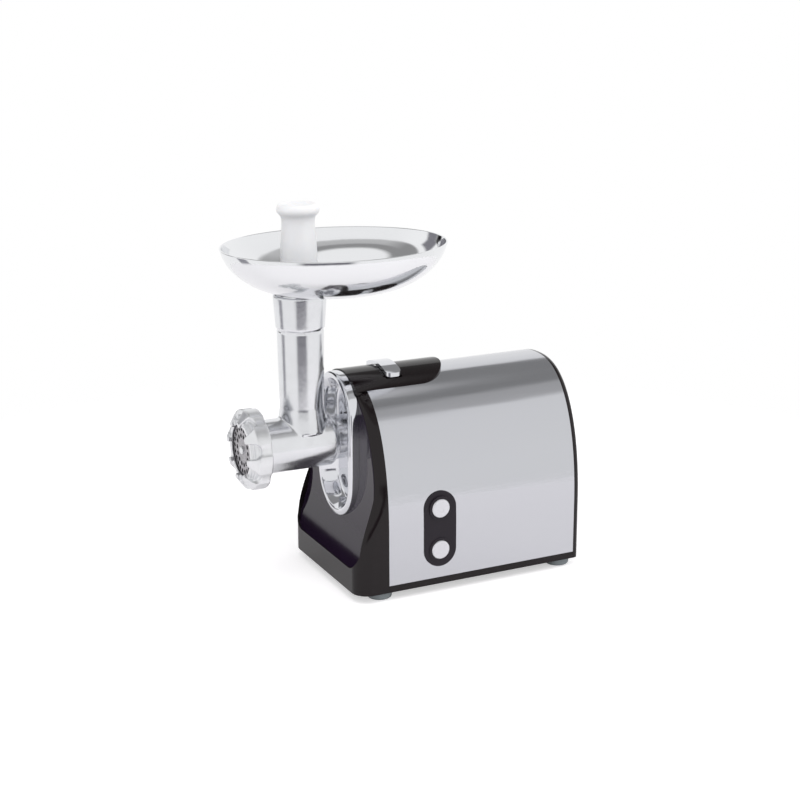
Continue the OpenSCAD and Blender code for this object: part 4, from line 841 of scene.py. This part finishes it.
outside = [dish(depth, rim_step, tray_foot) for depth in reversed(steps)]
inside = [dish(depth, rim_step + sheet, tray_foot + sheet) for depth in steps]
bead = []
for turn in range(-10, 200, 30):
    out, up = bead_r * math.cos(math.radians(turn)), bead_r * math.sin(math.radians(turn))
    bead.append((half_long - bead_r + out, half_wide - bead_r + out, rim_top - bead_r + up))
dish_rings = outside[:-2] + bead + inside[2:]   # the bead replaces each wall's two topmost rings
print("dish", round((rim_top - tray_foot) / MM, 1), "mm deep, in", len(dish_rings), "rings")

# %% Food tray
sleeve_bore, cut_depth = 18.0 * MM, 60 * MM
tray = stack("food_tray_fine", (tray_mid.x, 0, 0), dish_rings, sides=160, caps=True)
bore(tray, sleeve_bore, cut_depth, (tube.x, 0, tray_foot))
sleeve_low, sleeve_top = tray_low.z, tray_foot + 0.5 * MM
sleeve_outline = [(18.0, sleeve_low + 0.6 * MM), (18.3, sleeve_low), (20.8, sleeve_low)]
sleeve_outline += [(21.2, sleeve_low + 0.6 * MM), (22.9, sleeve_top), (18.0, sleeve_top)]
sleeve_outline += sleeve_outline[:1]
sleeve = stack("tray_sleeve", (tube.x, 0, 0), [(r * MM, r * MM, z) for r, z in sleeve_outline])
only(sleeve, tray)
bpy.ops.object.join()
hand_over(tray, "food_tray", 40)
print("tray spans", [round(v / MM, 1) for v in tray.dimensions])

# %% [markdown]
# ## The pusher
# The pusher is moulded in white plastic: a hollow stem that fits the feed tube, a waist for the
# fingers and a fat round rim with a dished top. Its outline is drawn once and turned. Each point
# is a radius and a drop below the top, in millimetres.

# %% Pusher
top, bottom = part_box("pusher")[1].z / MM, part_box("pusher")[0].z / MM
length = top - bottom
mouth = (14.9, length - 0.6)
outline = [mouth, (15.3, length), (16.8, length), (17.3, length - 0.6)]
outline += [(17.3, 48), (17.15, 44), (16.8, 38), (16.3, 31), (15.8, 25)]
outline += [(15.5, 20), (15.5, 16), (15.9, 13.2), (16.8, 11)]
rim_r, rim_wide, rim_tall = 15.9, 4.1, 5.2
for turn in range(-55, 91, 12):
    out, up = rim_wide * math.cos(math.radians(turn)), rim_tall * math.sin(math.radians(turn))
    outline.append((rim_r + out, rim_tall - up))
outline += [(14.6, 0.35), (13.4, 1.1), (11.0, 1.6), (6.0, 1.9), (0.02, 2.0)]
outline += [(0.02, 6), (10.6, 6), (12, 7.5), (12, 34), (14.9, 38), mouth]
rings = [(r * MM, r * MM, (top - drop) * MM) for r, drop in outline]
pusher = stack("pusher_fine", (tube.x, tube.y, 0), rings, sides=72)
hand_over(pusher, "pusher", 45)

# %% [markdown]
# ## The oval bezel
# The bezel is a plated oval ring with a rounded rim and a bowl that leads the eye to the barrel.
# It is turned as a round bowl about its lower centre, and then the upper half is moved straight
# up, which draws out the long sides and leaves both ends perfectly round. Each point is a step in
# from the outer edge and a depth behind the front face, in millimetres.

# %% The bezel's outline
rim_r, rim_depth = 1.6, 2.4
profile = [(17, 18.0), (11.5, 18.0), (10.0, 9.8), (0, 9.8), (0, 3.2)]
for turn in range(10, 71, 15):
    out, up = rim_r * math.cos(math.radians(turn)), rim_r * math.sin(math.radians(turn))
    profile.append((rim_r - out, rim_depth - up))
profile += [(1.9, 0.6), (3.4, 0.15), (4.8, 0), (5.7, 0.15), (6.5, 0.7)]
profile += [(7.2, 1.6), (8.3, 3.2), (9.6, 5.2), (10.9, 7.7)]
profile += [(12.0, 10.4), (13.0, 13.0), (14.2, 15.0), (15.6, 16.0), (17.0, 16.1)]
print("bezel outline:", len(profile), "points")

# %% Bezel
def pick(piece, wanted):
    only(piece)
    bpy.ops.object.mode_set(mode="EDIT")
    bpy.ops.mesh.select_mode(type="VERT")
    bpy.ops.mesh.select_all(action="DESELECT")
    shape = bmesh.from_edit_mesh(piece.data)
    for point in shape.verts:
        point.select = wanted(point.co)
    shape.select_flush(True)
    bmesh.update_edit_mesh(piece.data)


bezel_low, bezel_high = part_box("bezel")
half = (bezel_high.y - bezel_low.y) / 2
lower = Vector((0, 0, bezel_low.z + half))
rise = (bezel_high.z - bezel_low.z) - 2 * half
barrel_hole, hole_depth = 22.5 * MM, 10 * MM
rings = [(half - inset * MM, half - inset * MM, bezel_low.x + depth * MM)
    for inset, depth in profile]
bezel = stack("bezel_fine", lower, rings, along="X", sides=128, caps=True)
pick(bezel, lambda point: point.z > lower.z + 0.01 * MM)
bpy.ops.transform.translate(value=(0, 0, rise))
bpy.ops.object.mode_set(mode="OBJECT")
axle = sum(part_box("ring_nut"), Vector()) / 2
bore(bezel, barrel_hole, hole_depth, (bezel_high.x, 0, axle.z), (0, math.pi / 2, 0))
hand_over(bezel, "bezel", 50)

# %% [markdown]
# ## The feed screw
# The screw is cast and tumbled, and the meat wears it smooth. The solid's flights are plain
# facets, so the same even skin and relaxing passes that made the head look cast give it a soft,
# worn thread.

# %% Feed screw
cast_skin("feed_screw", 0.7, 5)

# %% [markdown]
# ## The springs
# The release and both push buttons rest on small coil springs, and a spring closes up when its
# button goes in. Each spring's solid is copied and handed over like the others, with a mesh of
# its own. Its axis and the end that stays put are worked out from its joint, but are not used.

# %% Springs
for joint in frame["joints"]:
    for spring in joint.get("deforming_nodes", []):
        letter = spring["mode"][-1]
        spot = "xyz".index(letter)
        low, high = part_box(spring["node"])
        axis, anchor = Vector(), (low + high) / 2
        axis[spot], anchor[spot] = 1.0, spring[f"fixed_end_{letter}_m"]
        coil = copy_solid(spring["node"])
        hand_over(coil, spring["node"])
        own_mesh(coil)
